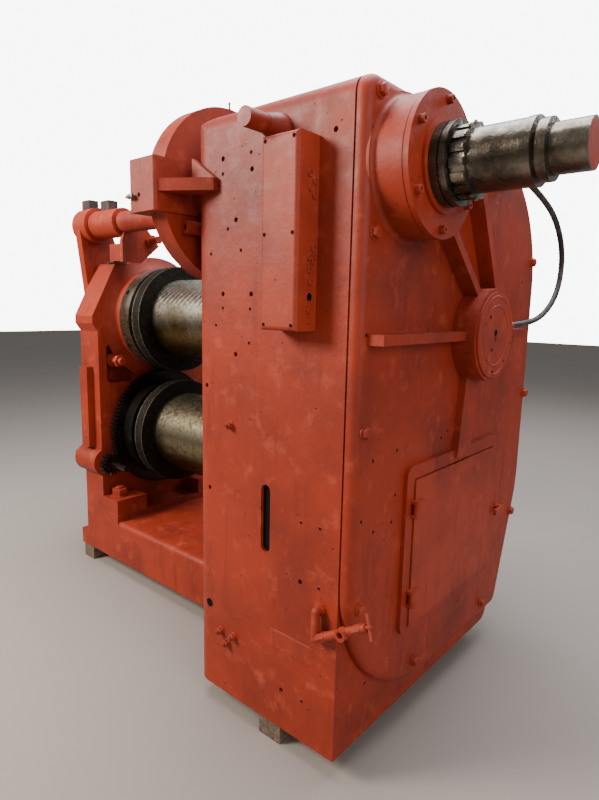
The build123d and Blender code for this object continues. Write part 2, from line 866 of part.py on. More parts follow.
# Torque lug: gusset and rib from the torque block onto the column's front face
lug_end = lug_reach - column_width
lug_web_start = lug_web_inset - column_width
block_top = block_bottom + block_height
lug_rib_bottom = shaft_up - lug_rib_drop

with BuildPart() as torque_lug:
    with BuildSketch(front_plane(0)):
        with BuildLine():
            Polyline(
                (lug_web_start, lug_rib_bottom),
                (lug_end, lug_rib_bottom),
                (lug_end, lug_rib_bottom + lug_rib_thickness),
                (lug_web_start, block_top),
                close=True,
            )
        make_face()
    extrude(amount=lug_web_thickness)
    with BuildSketch(level_plane(lug_rib_bottom)):
        with BuildLine():
            Polyline(
                (block_face, block_front + block_edge_radius),
                (lug_end, -lug_rib_end),
                (lug_end, 0),
                (block_face, 0),
                close=True,
            )
        make_face()
    extrude(amount=lug_rib_thickness)
write_piece(torque_lug, "torque_lug")

# Cross tube from the outboard cheek to the drum housing's recess
outer_cheek_start = housing_outer - outer_cheek_thickness
stay_start = housing_face + stay_gap

with BuildPart() as cross_tube:
    with BuildSketch(side_plane(outer_cheek_start - tube_collar_length)):
        with Locations((tube_back, tube_up)):
            Circle(tube_radius)
    extrude(amount=stay_start - outer_cheek_start + tube_collar_length)
    with BuildSketch(side_plane(stay_start)):
        with Locations((tube_back, tube_up)):
            Circle(tube_neck_radius)
    extrude(amount=drum_back_face + drum_rim_depth - stay_start)
write_piece(cross_tube, "cross_tube")

with BuildPart() as tube_collar:
    with BuildSketch(side_plane(outer_cheek_start - tube_collar_length)):
        with Locations((tube_back, tube_up)):
            Circle(tube_collar_radius)
            Circle(tube_radius, mode=Mode.SUBTRACT)
    extrude(amount=tube_collar_length)
    fillet(tube_collar.faces().sort_by(Axis.X)[0].edges().sort_by(SortBy.RADIUS)[-1], tube_collar_edge)
write_piece(tube_collar, "tube_collar")

with BuildPart() as outer_cheek:
    with BuildSketch(side_plane(outer_cheek_start)):
        with BuildLine():
            Polyline(
                (tube_back - tube_collar_radius, tube_up),
                (cheek_foot_front, housing_top - cheek_lap),
                (cheek_foot_back, housing_top - cheek_lap),
                (cheek_foot_back, housing_top),
                (tube_back + tube_collar_radius, tube_up),
                close=True,
            )
        make_face()
        with Locations((tube_back, tube_up)):
            Circle(tube_collar_radius)
            Circle(tube_radius, mode=Mode.SUBTRACT)
    extrude(amount=outer_cheek_thickness)
    with BuildSketch(side_plane(housing_outer)):
        with Locations((tube_back, tube_up)):
            Circle(tube_collar_radius)
            Circle(tube_radius, mode=Mode.SUBTRACT)
    extrude(amount=cheek_hub_length)
write_piece(outer_cheek, "outer_cheek")

with BuildPart() as inner_cheek:
    with BuildSketch(side_plane(stay_start)):
        with BuildLine():
            Polyline(
                (tube_back, tube_up),
                (stay_front, tube_up - tube_collar_radius),
                (stay_front, housing_top),
                (foot_front + foot_depth, housing_top),
                (stay_back, tube_up - 2 * tube_neck_radius),
                (tube_back + tube_neck_radius, tube_up + tube_neck_radius),
                (tube_back, tube_up + tube_neck_radius),
                close=True,
            )
        make_face()
        with Locations((tube_back, tube_up)):
            Circle(tube_neck_radius, mode=Mode.SUBTRACT)
    extrude(amount=cheek_thickness)
write_piece(inner_cheek, "inner_cheek")

# Foot block of the inner cheek, on a shim on the housing's top
with BuildPart() as cheek_foot:
    with BuildSketch(front_plane(foot_front)):
        with BuildLine():
            Polyline(
                (housing_face - foot_lap, housing_top + foot_shim_thickness),
                (stay_start, housing_top + foot_shim_thickness),
                (stay_start, housing_top + foot_height + foot_step_height),
                (stay_start - foot_step_width, housing_top + foot_height + foot_step_height),
                (stay_start - foot_step_width, housing_top + foot_height),
                (housing_face - foot_lap, housing_top + foot_height),
                close=True,
            )
        make_face()
    extrude(amount=-foot_depth)
write_piece(cheek_foot, "cheek_foot")

with BuildPart() as foot_shim:
    with BuildSketch(level_plane(housing_top)):
        with Locations((housing_face - 2 * foot_lap, foot_front)):
            Rectangle(2 * foot_lap, foot_depth, align=(Align.MIN, Align.MIN))
    extrude(amount=foot_shim_thickness)
write_piece(foot_shim, "foot_shim")

with BuildPart() as stay_bolt:
    with BuildSketch(side_plane(stay_start + cheek_thickness)):
        with Locations((stay_bolt_back, stay_bolt_up)):
            Circle(stay_bolt_radius)
    extrude(amount=stay_bolt_reach)
    with BuildSketch(side_plane(stay_start + cheek_thickness)):
        with Locations((stay_bolt_back, stay_bolt_up)):
            RegularPolygon(stay_nut_radius, 6)
    extrude(amount=stay_bolt_radius)
write_piece(stay_bolt, "stay_bolt")

# Two small sensor boxes, on the collar and on the tube
with BuildPart() as tube_sensors:
    for index, seat in ((0, tube_collar_radius), (1, tube_radius)):
        sensor_start = outer_cheek_start - tube_collar_length + index * sensor_spacing
        seat_drop = seat - math.sqrt(seat**2 - (sensor_width / 2) ** 2)
        with BuildSketch(level_plane(tube_up + seat - seat_drop)):
            with Locations((sensor_start, tube_back)):
                Rectangle(sensor_length, sensor_width, align=(Align.MIN, Align.CENTER))
        extrude(amount=sensor_height + seat_drop)
    hub_reach = tube_collar_length + outer_cheek_thickness + cheek_hub_length
    for seat, length in ((tube_collar_radius, hub_reach), (tube_radius, tube_up)):
        with BuildSketch(side_plane(outer_cheek_start - tube_collar_length)):
            with Locations((tube_back, tube_up)):
                Circle(seat)
        extrude(amount=length, mode=Mode.SUBTRACT)
write_piece(tube_sensors, "tube_sensors")

# Box cover and lifting trunnion on the column's front face
with BuildPart() as box_cover:
    with BuildSketch(front_plane(-box_depth)):
        with Locations((-box_right - box_width, box_bottom)):
            Rectangle(box_width, box_top - box_bottom, align=(Align.MIN, Align.MIN))
    extrude(amount=-box_depth)
    fillet(box_cover.faces().sort_by(Axis.Y)[0].edges(), block_edge_radius)
write_piece(box_cover, "box_cover")

with BuildPart() as lifting_trunnion:
    with BuildSketch(front_plane(-trunnion_reach)):
        with Locations((trunnion_across, trunnion_up)):
            Circle(trunnion_radius)
    extrude(amount=-trunnion_reach)
    with BuildSketch(front_plane(-trunnion_collar_reach)):
        with Locations((trunnion_across, trunnion_up)):
            Circle(trunnion_collar_radius)
    extrude(amount=-trunnion_collar_reach, taper=-trunnion_taper)
write_piece(lifting_trunnion, "lifting_trunnion")

# Drain at the front corner: elbow, sloping pipe with a tee and a small valve
drain_front = front_y - drain_out
slope_run = math.cos(math.radians(drain_slope))
slope_rise = math.sin(math.radians(drain_slope))


def drain_plane(along):
    """Plane across the sloping pipe at a distance along it; its local Z follows the pipe."""
    across = face_x + drain_across + along * slope_run
    up = packing_height + drain_low + along * slope_rise
    return Plane(origin=(across, drain_front, up), x_dir=(0, -1, 0), z_dir=(slope_run, 0, slope_rise))


with BuildPart() as drain_pipe:
    with BuildSketch(front_plane(-drain_flange_thickness)):
        with Locations((drain_across, drain_up)):
            Circle(drain_flange_radius)
    extrude(amount=-drain_flange_thickness)
    with BuildSketch(front_plane(-drain_out)):
        with Locations((drain_across, drain_up)):
            Circle(drain_pipe_radius)
    extrude(amount=-drain_out)
    with BuildSketch(level_plane(drain_low)):
        with Locations((drain_across, -drain_out)):
            Circle(drain_pipe_radius)
    extrude(amount=drain_up - drain_low)
    with BuildSketch(drain_plane(0)):
        Circle(drain_pipe_radius)
    extrude(amount=drain_length)
    for up in (drain_low, drain_up):
        with Locations((face_x + drain_across, drain_front, packing_height + up)):
            Sphere(drain_pipe_radius)
    for along in (drain_nut_width, drain_length - drain_nut_width):
        with BuildSketch(drain_plane(along - drain_nut_width / 2)):
            RegularPolygon(drain_nut_radius, 6)
        extrude(amount=drain_nut_width)
    tee_across = drain_across + drain_tee_place * slope_run
    tee_up = drain_low + drain_tee_place * slope_rise
    with BuildSketch(front_plane(-drain_out - drain_tee_reach)):
        with Locations((tee_across, tee_up)):
            Circle(drain_tee_radius)
    extrude(amount=-drain_tee_reach)
    with BuildSketch(front_plane(-drain_out - drain_tee_reach)):
        with Locations((tee_across, tee_up)):
            Circle(drain_tee_bore_radius)
    extrude(amount=-drain_tee_reach, mode=Mode.SUBTRACT)
    with BuildSketch(drain_plane(drain_length)):
        Circle(valve_spindle_radius + running_fit)
    extrude(amount=-valve_spindle_depth - seat_gap, mode=Mode.SUBTRACT)
write_piece(drain_pipe, "drain_pipe")

# Valve handle: spindle in the pipe's end with a cross bar
with BuildPart() as valve_handle:
    with BuildSketch(drain_plane(drain_length - valve_spindle_depth)):
        Circle(valve_spindle_radius)
    extrude(amount=valve_spindle_depth + valve_spindle_reach)
    turn = math.radians(valve_turn)
    bar_middle = drain_plane(drain_length + valve_spindle_reach - 2 * valve_bar_radius)
    bar_line = bar_middle.x_dir * math.sin(turn) + bar_middle.y_dir * math.cos(turn)
    bar_start = bar_middle.origin - bar_line * (valve_bar_length / 2)
    with BuildSketch(Plane(origin=bar_start, z_dir=bar_line)):
        Circle(valve_bar_radius)
    extrude(amount=valve_bar_length)
write_piece(valve_handle, "valve_handle")

# Packing timbers under the column and under the base's outer end
for timber_name, timber_right, timber_front, timber_length in (
    ("column_timber", packing_right, packing_front, packing_length),
    ("base_timber", housing_outer + packing_left_inset, base_front, base_back - base_front),
):
    with BuildPart() as timber:
        with BuildSketch(level_plane(-packing_height)):
            with Locations((timber_right, timber_front)):
                Rectangle(packing_width, timber_length, align=(Align.MAX, Align.MIN))
        extrude(amount=packing_height)
    write_piece(timber, timber_name)

# Oil hose in a free loop from the cover's face to the centre boss, with its two fittings
hose_route = [
    (hose_top_across, hose_top_back, hose_top_up),
    (150.0, 1230.0, 2068.0),
    (150.0, 1405.0, 2008.0),
    (150.0, 1527.0, 1910.0),
    (150.0, 1566.0, 1790.0),
    (147.0, 1532.0, 1670.0),
    (140.0, 1420.0, 1580.0),
    (hose_end_across + 5.5, hose_end_back + 224.0, hose_end_up + 8.0),
    (hose_end_across, hose_end_back, hose_end_up),
]


def route_radii(points):
    """Bend radius at each inner point: the largest that its two runs allow."""
    radii = []
    for before, point, after in zip(points, points[1:], points[2:]):
        first = Vector(*point) - Vector(*before)
        second = Vector(*after) - Vector(*point)
        half_turn = math.radians(first.get_angle(second) / 2)
        radii.append(bend_share * min(first.length, second.length) / math.tan(half_turn))
    return radii


hose_points = [(face_x + across, front_y + back, packing_height + up) for across, back, up in hose_route]
hose_radii = route_radii(hose_points)
print("hose radii", [round(radius) for radius in hose_radii])

with BuildPart() as oil_hose:
    with BuildLine() as hose_line:
        FilletPolyline(*hose_points, radius=hose_radii)
    hose_start = Vector(*hose_points[1]) - Vector(*hose_points[0])
    with BuildSketch(Plane(origin=hose_points[0], z_dir=hose_start)):
        Circle(hose_radius)
    sweep(path=hose_line.wire())
write_piece(oil_hose, "oil_hose")
hose_length = hose_line.wire().length
print("hose volume over length times section", oil_hose.part.volume / (hose_length * math.pi * hose_radius**2))

# The upper fitting stands on the cover, the lower one in the boss's side
with BuildPart() as hose_top_fitting:
    with BuildSketch(side_plane(cover_thickness)):
        with Locations((hose_top_back - fitting_length, hose_top_up)):
            RegularPolygon(fitting_radius, 6)
    extrude(amount=hose_top_across + fitting_radius - cover_thickness)
    with BuildSketch(Plane(origin=hose_points[0], z_dir=hose_start)):
        Circle(hose_radius + fitting_wall)
    extrude(amount=-fitting_length)
write_piece(hose_top_fitting, "hose_top_fitting")

hose_finish = Vector(*hose_points[-1]) - Vector(*hose_points[-2])
with BuildPart() as hose_end_fitting:
    with BuildSketch(Plane(origin=hose_points[-1], z_dir=hose_finish)):
        Circle(hose_radius + fitting_wall)
    extrude(amount=2 * fitting_length)
    with BuildSketch(side_plane(cover_thickness)):
        with Locations((roll_back, upper_roll_up)):
            Circle(boss_radius)
    extrude(amount=boss_reach, mode=Mode.SUBTRACT)
write_piece(hose_end_fitting, "hose_end_fitting")
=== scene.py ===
"""Dressed model of a forging roll machine: finishes, bolts, rims, grease and the oil hose.

The machine's solids come in as a fixed frame. This file gives each of them the finish that the real
piece has, and adds the small pieces that the solids leave out. Lengths in the classes are millimetres,
measured from the column's lower front corner on its gear side: across, back and up.
"""

import logging
from dataclasses import dataclass
from enum import Enum
from functools import partial
from typing import Dict, NamedTuple, Sequence, Tuple, Union

import bmesh
import bpy
import numpy as np
from mathutils import Matrix, Vector


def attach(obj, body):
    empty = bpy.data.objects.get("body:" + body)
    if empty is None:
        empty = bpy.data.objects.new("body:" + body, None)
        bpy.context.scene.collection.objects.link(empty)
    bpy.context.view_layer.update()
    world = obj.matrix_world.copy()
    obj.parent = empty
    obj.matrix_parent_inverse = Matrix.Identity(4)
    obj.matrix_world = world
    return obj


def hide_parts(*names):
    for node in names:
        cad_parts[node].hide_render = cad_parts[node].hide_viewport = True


LOG = logging.getLogger("forging_rolls")
MM_PER_METRE = 1000.0

# Bands that the wave texture draws in a metre at a scale of one, about
WAVE_BANDS = 3.14

# Place of the measuring corner in the machine's frame: across, back and up in millimetres
CORNER = np.array([931.0, -664.5, 85.0])

# Back and up of two axes that run across the machine, in measured millimetres
UPPER_ROLL_AXIS = (797.0, 1485.0)
SHAFT_AXIS = (240.0, 2018.0)

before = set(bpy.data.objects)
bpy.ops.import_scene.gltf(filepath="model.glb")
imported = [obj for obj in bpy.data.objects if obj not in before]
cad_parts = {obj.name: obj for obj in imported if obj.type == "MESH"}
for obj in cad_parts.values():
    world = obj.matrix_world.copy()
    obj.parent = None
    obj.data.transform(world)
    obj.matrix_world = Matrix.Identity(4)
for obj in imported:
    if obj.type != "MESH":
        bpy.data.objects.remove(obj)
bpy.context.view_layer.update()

Point = Tuple[float, float, float]
Spot = Tuple[float, float]
Tree = bpy.types.NodeTree
Socket = bpy.types.NodeSocket
Colour = Union[Socket, Tuple[float, float, float, float]]


class Facing(Enum):
    """The way that a small piece stands out of the machine: outward, then its two flat directions."""

    GEAR_SIDE = ((1.0, 0.0, 0.0), (0.0, 1.0, 0.0), (0.0, 0.0, 1.0))
    FRONT = ((0.0, -1.0, 0.0), (1.0, 0.0, 0.0), (0.0, 0.0, 1.0))
    UP = ((0.0, 0.0, 1.0), (1.0, 0.0, 0.0), (0.0, 1.0, 0.0))
    ROLL_SIDE = ((-1.0, 0.0, 0.0), (0.0, -1.0, 0.0), (0.0, 0.0, 1.0))

    def rows(self) -> np.ndarray:
        """Rows that turn local (flat, flat, outward) lengths into the machine's axes."""
        outward, first, second = self.value
        return np.array([first, second, outward])


def place(points: Sequence[Point]) -> np.ndarray:
    """Turn measured millimetres into metres in the machine's frame.

    Args:
        points: rows of across, back and up.

    Returns:
        An array of points in metres, each the corner plus the measured length, over a thousand.
    """
    return (np.asarray(points, float) + CORNER) / MM_PER_METRE


def linear(code: str, strength: float = 1.0) -> Tuple[float, float, float, float]:
    """Turn an sRGB hex code into a linear colour.

    Args:
        code: six hex digits after a hash sign.
        strength: factor on the linear colour.

    Returns:
        Red, green, blue and an alpha of one. Each channel is ((c + 0.055) / 1.055) to the power 2.4.
    """
    raw = np.array([int(code[at:at + 2], 16) / 255.0 for at in (1, 3, 5)])
    flat = np.where(raw <= 0.04045, raw / 12.92, ((raw + 0.055) / 1.055) ** 2.4)
    return tuple(float(value) * strength for value in flat) + (1.0,)


def add_node(
    tree: Tree,
    kind: str,
    inputs: Dict[Union[int, str], object],
    output: Union[int, str] = 0,
    **settings: object,
) -> Socket:
    """Add one shader node.

    Args:
        tree: the material's node tree.
        kind: the node's type name, without its first part.
        inputs: what goes into each input, by its number or name: a socket is linked, a value is set.
        output: the number or name of the output to give.
        settings: the node's own settings by name.

    Returns:
        That output.
    """
    node = tree.nodes.new("ShaderNode" + kind)
    for name, value in settings.items():
        setattr(node, name, value)
    for name, value in inputs.items():
        if isinstance(value, Socket):
            tree.links.new(value, node.inputs[name])
        else:
            node.inputs[name].default_value = value
    return node.outputs[output]


class Noise(NamedTuple):
    """A noise of a finish: its spots' width, its finer layers and their strength, a squeeze and a shift."""

    size_mm: float
    detail: float
    rough: float
    stretch: Point = (1.0, 1.0, 1.0)
    shift: Point = (0.0, 0.0, 0.0)


class Layer(NamedTuple):
    """A colour laid over others where a pattern goes from low to high, with a strength of up to one."""

    pattern: Socket
    low: float
    high: float
    colour: Colour
    strength: float = 1.0


@dataclass(frozen=True)
class Finish:
    """What every finish has: a name, and a shader on object coordinates."""

    name: str

    def start(self, *noises: Noise) -> Tuple[bpy.types.Material, Socket, Sequence[Socket]]:
        """Make the empty material and its noises.

        Args:
            noises: what each noise is like. Its scale is a thousand over its size in millimetres.

        Returns:
            The material, the object coordinates and the noises, each from 0 to 1.
        """
        material = bpy.data.materials.new(self.name)
        material.use_nodes = True
        tree = material.node_tree
        spot = add_node(tree, "TexCoord", {}, "Object")
        made = []
        for noise in noises:
            mapping = {"Vector": spot, "Scale": noise.stretch, "Location": noise.shift}
            scale = MM_PER_METRE / noise.size_mm
            inputs = {"Scale": scale, "Detail": noise.detail, "Roughness": noise.rough}
            inputs["Vector"] = add_node(tree, "Mapping", mapping)
            made.append(add_node(tree, "TexNoise", inputs))
        return material, spot, made

    def lay(self, tree: Tree, base: Colour, *layers: Layer) -> Socket:
        """Lay colours over a base colour.

        Args:
            tree: the material's node tree.
            base: the colour underneath.
            layers: the colours over it, the lowest first.

        Returns:
            The colour, which each layer turns into under * (1 - mask) + its own * mask.
        """
        for layer in layers:
            span = {0: layer.pattern, 1: layer.low, 2: layer.high, 4: layer.strength}
            mask = add_node(tree, "MapRange", span)
            base = add_node(tree, "Mix", {0: mask, 6: base, 7: layer.colour}, 2, data_type="RGBA")
        return base

    def close(
        self,
        tree: Tree,
        values: Dict[str, Union[Socket, float]],
        heights: Sequence[Tuple[Socket, float, float]] = (),
    ) -> None:
        """Give the main shader its values and its bumps.

        Args:
            tree: the material's node tree.
            values: a socket or a number for each of the shader's inputs, by name.
            heights: height socket, depth in millimetres and strength of each bump, coarse ones first.
        """
        shader = tree.nodes["Principled BSDF"]
        for height, depth_mm, strength in heights:
            inputs = {"Height": height, "Distance": depth_mm / MM_PER_METRE, "Strength": strength}
            if "Normal" in values:
                inputs["Normal"] = values["Normal"]
            values["Normal"] = add_node(tree, "Bump", inputs)
        for name, value in values.items():
            if isinstance(value, Socket):
                tree.links.new(value, shader.inputs[name])
            else:
                shader.inputs[name].default_value = value


@dataclass(frozen=True)
class SprayedPrimer(Finish):
    """Red-oxide primer sprayed over old paint, filler and grease on cast iron.

    The coat is matt and uneven: darker where it is thin, paler with dry overspray, with pits, specks
    of old paint and faint runs of oil, on the low waves of a sand casting.
    """

    coat: str = "#8c2b14"
    thin: str = "#6c2113"
    dry: str = "#a5452e"
    chip: str = "#2f120c"
    cast_mm: float = 0.9
    pit_spacing_mm: float = 46.0

    def build(self) -> bpy.types.Material:
        """Make the material: patches of 420 mm, runs of 150 mm, blotches of 70 mm, grit of 7 mm and pits.

        Returns:
            The material.
        """
        material, spot, (wide, blotch, streak, grit, cast, peel) = self.start(
            Noise(420.0, 5.0, 0.6),
            Noise(70.0, 6.0, 0.62, shift=(3.1, 1.7, 0.4)),
            Noise(150.0, 5.0, 0.6, stretch=(3.0, 3.0, 0.35), shift=(0.0, 2.0, 5.0)),
            Noise(7.0, 3.0, 0.7),
            Noise(110.0, 3.0, 0.5, shift=(7.0, 0.0, 2.0)),
            Noise(13.0, 3.0, 0.6),
        )
        tree = material.node_tree
        add = partial(add_node, tree)
        cells = {"Vector": spot, "Scale": MM_PER_METRE / self.pit_spacing_mm, "Randomness": 1.0}
        near_pit = add("MapRange", {0: add("TexVoronoi", cells, "Distance"), 1: 0.10, 2: 0.055})
        chosen = add("MapRange", {0: blotch, 1: 0.46, 2: 0.53})
        pit = add("Math", {0: near_pit, 1: chosen}, operation="MULTIPLY")
        colour = self.lay(
            tree,
            linear(self.coat),
            Layer(wide, 0.42, 0.68, linear(self.thin)),
            Layer(blotch, 0.56, 0.84, linear(self.dry)),
            Layer(streak, 0.56, 0.74, linear(self.thin, 0.7), 0.55),
            Layer(pit, 0.0, 1.0, linear(self.chip)),
            Layer(grit, 0.60, 0.72, linear(self.dry, 1.15), 0.3),
        )
        roughness = add("MapRange", {0: blotch, 1: 0.2, 2: 0.8, 3: 0.43, 4: 0.65})
        unpitted = add("Math", {0: 1.0, 1: pit}, operation="SUBTRACT")
        values = {"Base Color": colour, "Roughness": roughness, "Specular IOR Level": 0.28}
        waves = (cast, self.cast_mm * 6.0, 0.6)
        self.close(tree, values, [waves, (peel, 1.3, 0.45), (grit, 0.5, 0.4), (unpitted, 1.2, 0.8)])
        return material


@dataclass(frozen=True)
class GreasedSteel(Finish):
    """Turned steel under brown grease: fine rings round the shaft, with lumps where the grease is thick."""

    metal: str
    grease: str
    film: str
    lumps_mm: float
    cover: float
    turned: bool = True
    ring_pitch_mm: float = 9.0

    def build(self) -> bpy.types.Material:
        """Make the material: metal with a brown film in patches of 120 mm and dark lumps of 24 mm.

        Returns:
            The material.
        """
        material, spot, (wide, lump, fine) = self.start(
            Noise(120.0, 5.0, 0.6),
            Noise(24.0, 5.0, 0.65, stretch=(0.8, 1.0, 1.0)),
            Noise(5.0, 3.0, 0.6),
        )
        tree = material.node_tree
        add = partial(add_node, tree)
        both = add("Math", {0: lump, 1: 0.7, 2: wide}, operation="MULTIPLY_ADD")
        thick = add("MapRange", {0: both, 1: 1.02 - self.cover * 0.35, 2: 1.10})
        colour = self.lay(
            tree,
            linear(self.metal),
            Layer(wide, 0.35, 0.62, linear(self.film)),
            Layer(thick, 0.0, 1.0, linear(self.grease)),
            Layer(fine, 0.62, 0.70, linear(self.grease), 0.5),
        )
        roughness = add("MapRange", {0: thick, 3: 0.27, 4: 0.15})
        metallic = add("MapRange", {0: thick, 3: 0.95, 4: 0.2})
        heights = [(lump, self.lumps_mm, 0.45), (fine, 0.6, 0.4)]
        if self.turned:
            scale = MM_PER_METRE / self.ring_pitch_mm / WAVE_BANDS
            inputs = {"Vector": spot, "Scale": scale, "Distortion": 0.6}
            rings = add("TexWave", inputs, "Fac", bands_direction="X")
            heights.append((rings, 0.15, 0.3))
        self.close(tree, {"Base Color": colour, "Roughness": roughness, "Metallic": metallic}, heights)
        return material


@dataclass(frozen=True)
class RollFaceSteel(Finish):
    """A roll: a bright worn body with slanted machining grooves and brown oil, and sooty black flanges.

    The body's grooves follow (across, plus turn round the roll), so they lie slanted. Flanges are told
    from the body by their place along the roll, and the thin worn rims by their distance from its axis.
    The body's brown film grows thicker and darker towards its underside, which is painted shade.
    """

    metal: str = "#a9a396"
    film: str = "#5a4725"
    soot: str = "#0d0c0c"
    axis_up: float = UPPER_ROLL_AXIS[1]
    groove_mm: float = 1.6
    body_ends: Spot = (-1828.0, -854.0)
    flange_ends: Spot = (-1900.0, -782.0)
    rim_from_m: float = 0.3192
    rim_full_m: float = 0.3198
    turns_across: float = 150.0
    turns_round: float = 24.0

    def metres_across(self, across: float) -> float:
        """A measured place across the machine, in metres in the machine's frame."""
        return float(place([(across, 0.0, 0.0)])[0][0])

    def build(self) -> bpy.types.Material:
        """Make the material, with masks worked out from where each surface lies on the roll.

        Returns:
            The material.
        """
        material, spot, (wide, mottle, grain) = self.start(
            Noise(160.0, 5.0, 0.6),
            Noise(22.0, 6.0, 0.65),
            Noise(4.0, 2.0, 0.5),
        )
        tree = material.node_tree
        add = partial(add_node, tree)
        axle = place([(0.0, UPPER_ROLL_AXIS[0], self.axis_up)])[0]
        across, far, high = add("SeparateXYZ", {0: spot}).node.outputs
        back = add("Math", {0: far, 1: float(axle[1])}, operation="SUBTRACT")
        up = add("Math", {0: high, 1: float(axle[2])}, operation="SUBTRACT")
        radius = add("VectorMath", {0: add("CombineXYZ", {1: back, 2: up})}, "Value", operation="LENGTH")
        left, right = (self.metres_across(edge) for edge in self.body_ends)
        past_left = add("MapRange", {0: across, 1: left, 2: left + 0.0005})
        short_of_right = add("MapRange", {0: across, 1: right, 2: right - 0.0005})
        body = add("Math", {0: past_left, 1: short_of_right}, operation="MULTIPLY")
        near_edge = 0.0
        for edge in self.body_ends + self.flange_ends:
            away = add("Math", {0: across, 1: self.metres_across(edge)}, operation="SUBTRACT")
            line = add("MapRange", {0: add("Math", {0: away}, operation="ABSOLUTE"), 1: 0.0055, 2: 0.003})
            near_edge = add("Math", {0: line, 1: near_edge}, operation="MAXIMUM")
        outermost = add("MapRange", {0: radius, 1: self.rim_from_m, 2: self.rim_full_m})
        rim = add("Math", {0: outermost, 1: near_edge}, operation="MULTIPLY")
        # the film laid thicker towards the roll's underside is painted shade; the wide patches add real oil
        low = add("MapRange", {0: up, 1: 0.10, 2: -0.10})
        patch = add("MapRange", {0: wide, 1: 0.45, 2: 0.70, 4: 0.45})
        oil_and_low_shade = add("Math", {0: patch, 1: low}, operation="ADD", use_clamp=True)
        # the speckled dark film called dirt here is painted shade towards the roll's underside, broken up by
        # the mottle
        low_shade_mask = add("MapRange", {0: up, 1: 0.11, 2: 0.03})
        speckle = add("MapRange", {0: mottle, 1: 0.50, 2: 0.66, 4: 0.8})
        dirt = add("Math", {0: speckle, 1: low_shade_mask}, operation="MULTIPLY")
        speckled_low_shade = Layer(dirt, 0.0, 1.0, linear(self.film, 0.45))
        face = self.lay(tree, linear(self.metal), Layer(oil_and_low_shade, 0.0, 1.0, linear(self.film)), speckled_low_shade)
        worn = self.lay(tree, linear(self.metal), Layer(mottle, 0.52, 0.6, linear(self.film, 0.6)))
        colour = self.lay(
            tree,
            linear(self.soot),
            Layer(mottle, 0.45, 0.75, linear(self.film, 0.35)),
            Layer(rim, 0.0, 1.0, worn),
            Layer(body, 0.0, 1.0, face),
        )
        bright = add("Math", {0: body, 1: rim}, operation="MAXIMUM")
        metallic = add("MapRange", {0: bright, 3: 0.05, 4: 0.95})
        uneven = add("MapRange", {0: mottle, 1: 0.3, 2: 0.7, 3: 0.2, 4: 0.4})
        matt = add("MapRange", {0: bright, 3: 0.35, 4: 0.0})
        roughness = add("Math", {0: uneven, 1: matt}, operation="ADD")
        turn = add("Math", {0: up, 1: back}, operation="ARCTAN2")
        round_roll = add("Math", {0: turn, 1: self.turns_round}, operation="MULTIPLY")
        slant = add("Math", {0: across, 1: self.turns_across, 2: round_roll}, operation="MULTIPLY_ADD")
        upper = add("MapRange", {0: up, 1: 0.08, 2: 0.19})
        cut = add("Math", {0: add("Math", {0: slant}, operation="SINE"), 1: upper}, operation="MULTIPLY")
        groove = add("Math", {0: cut, 1: body}, operation="MULTIPLY")
        values = {"Base Color": colour, "Roughness": roughness, "Metallic": metallic}
        values["Specular IOR Level"] = 0.12
        self.close(tree, values, [(groove, self.groove_mm, 0.8), (mottle, 0.8, 0.4), (grain, 0.3, 0.3)])
        return material


@dataclass(frozen=True)
class SawnTimber(Finish):
    """Rough sawn softwood sleeper, grey and brown with dirt, its grain along the machine's depth."""

    wood: str = "#776350"
    late: str = "#3c2c1e"
    dirt: str = "#4a4138"

    def build(self) -> bpy.types.Material:
        """Make the material: grain lines about 9 mm apart, nearly thirty times as long, and dirt.

        Returns:
            The material.
        """
        material, _, (grain, dirt, saw) = self.start(
            Noise(9.0, 6.0, 0.65, stretch=(1.0, 0.035, 1.0)),
            Noise(80.0, 5.0, 0.6),
            Noise(3.0, 2.0, 0.5, stretch=(0.3, 2.0, 0.3)),
        )
        tree = material.node_tree
        late_wood = Layer(grain, 0.4, 0.62, linear(self.late))
        colour = self.lay(tree, linear(self.wood), late_wood, Layer(dirt, 0.4, 0.65, linear(self.dirt), 0.7))
        roughness = add_node(tree, "MapRange", {0: grain, 3: 0.75, 4: 0.9})
        heights = [(grain, 2.5, 0.7), (saw, 0.8, 0.4)]
        self.close(tree, {"Base Color": colour, "Roughness": roughness}, heights)
        return material


@dataclass(frozen=True)
class DustyRubber(Finish):
    """Black rubber hose or moulded cap, matt, with pale dust and red overspray on it."""

    rubber: str = "#1a1918"
    dust: str = "#4d3a34"

    def build(self) -> bpy.types.Material:
        """Make the material: dust in patches of 40 mm and a fine moulded grain.

        Returns:
            The material.
        """
        material, _, (dust, grain) = self.start(Noise(40.0, 5.0, 0.6), Noise(2.0, 2.0, 0.5))
        tree = material.node_tree
        colour = self.lay(tree, linear(self.rubber), Layer(dust, 0.45, 0.7, linear(self.dust)))
        roughness = add_node(tree, "MapRange", {0: dust, 3: 0.45, 4: 0.7})
        self.close(tree, {"Base Color": colour, "Roughness": roughness}, [(grain, 0.25, 0.4)])
        return material


@dataclass(frozen=True)
class PaintedHoleShade(Finish):
    """Painted shade inside a hole: a near-black dish where the hole's depth is dark."""

    dark: str = "#0b0908"

    def build(self) -> bpy.types.Material:
        """Make the material: near black with a faint change over 5 mm.

        Returns:
            The material.
        """
        material, _, (grain,) = self.start(Noise(5.0, 2.0, 0.5))
        tree = material.node_tree
        colour = self.lay(tree, linear(self.dark), Layer(grain, 0.0, 1.0, linear(self.dark, 1.5)))
        roughness = add_node(tree, "MapRange", {0: grain, 3: 0.8, 4: 1.0})
        values = {"Base Color": colour, "Roughness": roughness, "Specular IOR Level": 0.1}
        self.close(tree, values, [(grain, 0.3, 0.3)])
        return material


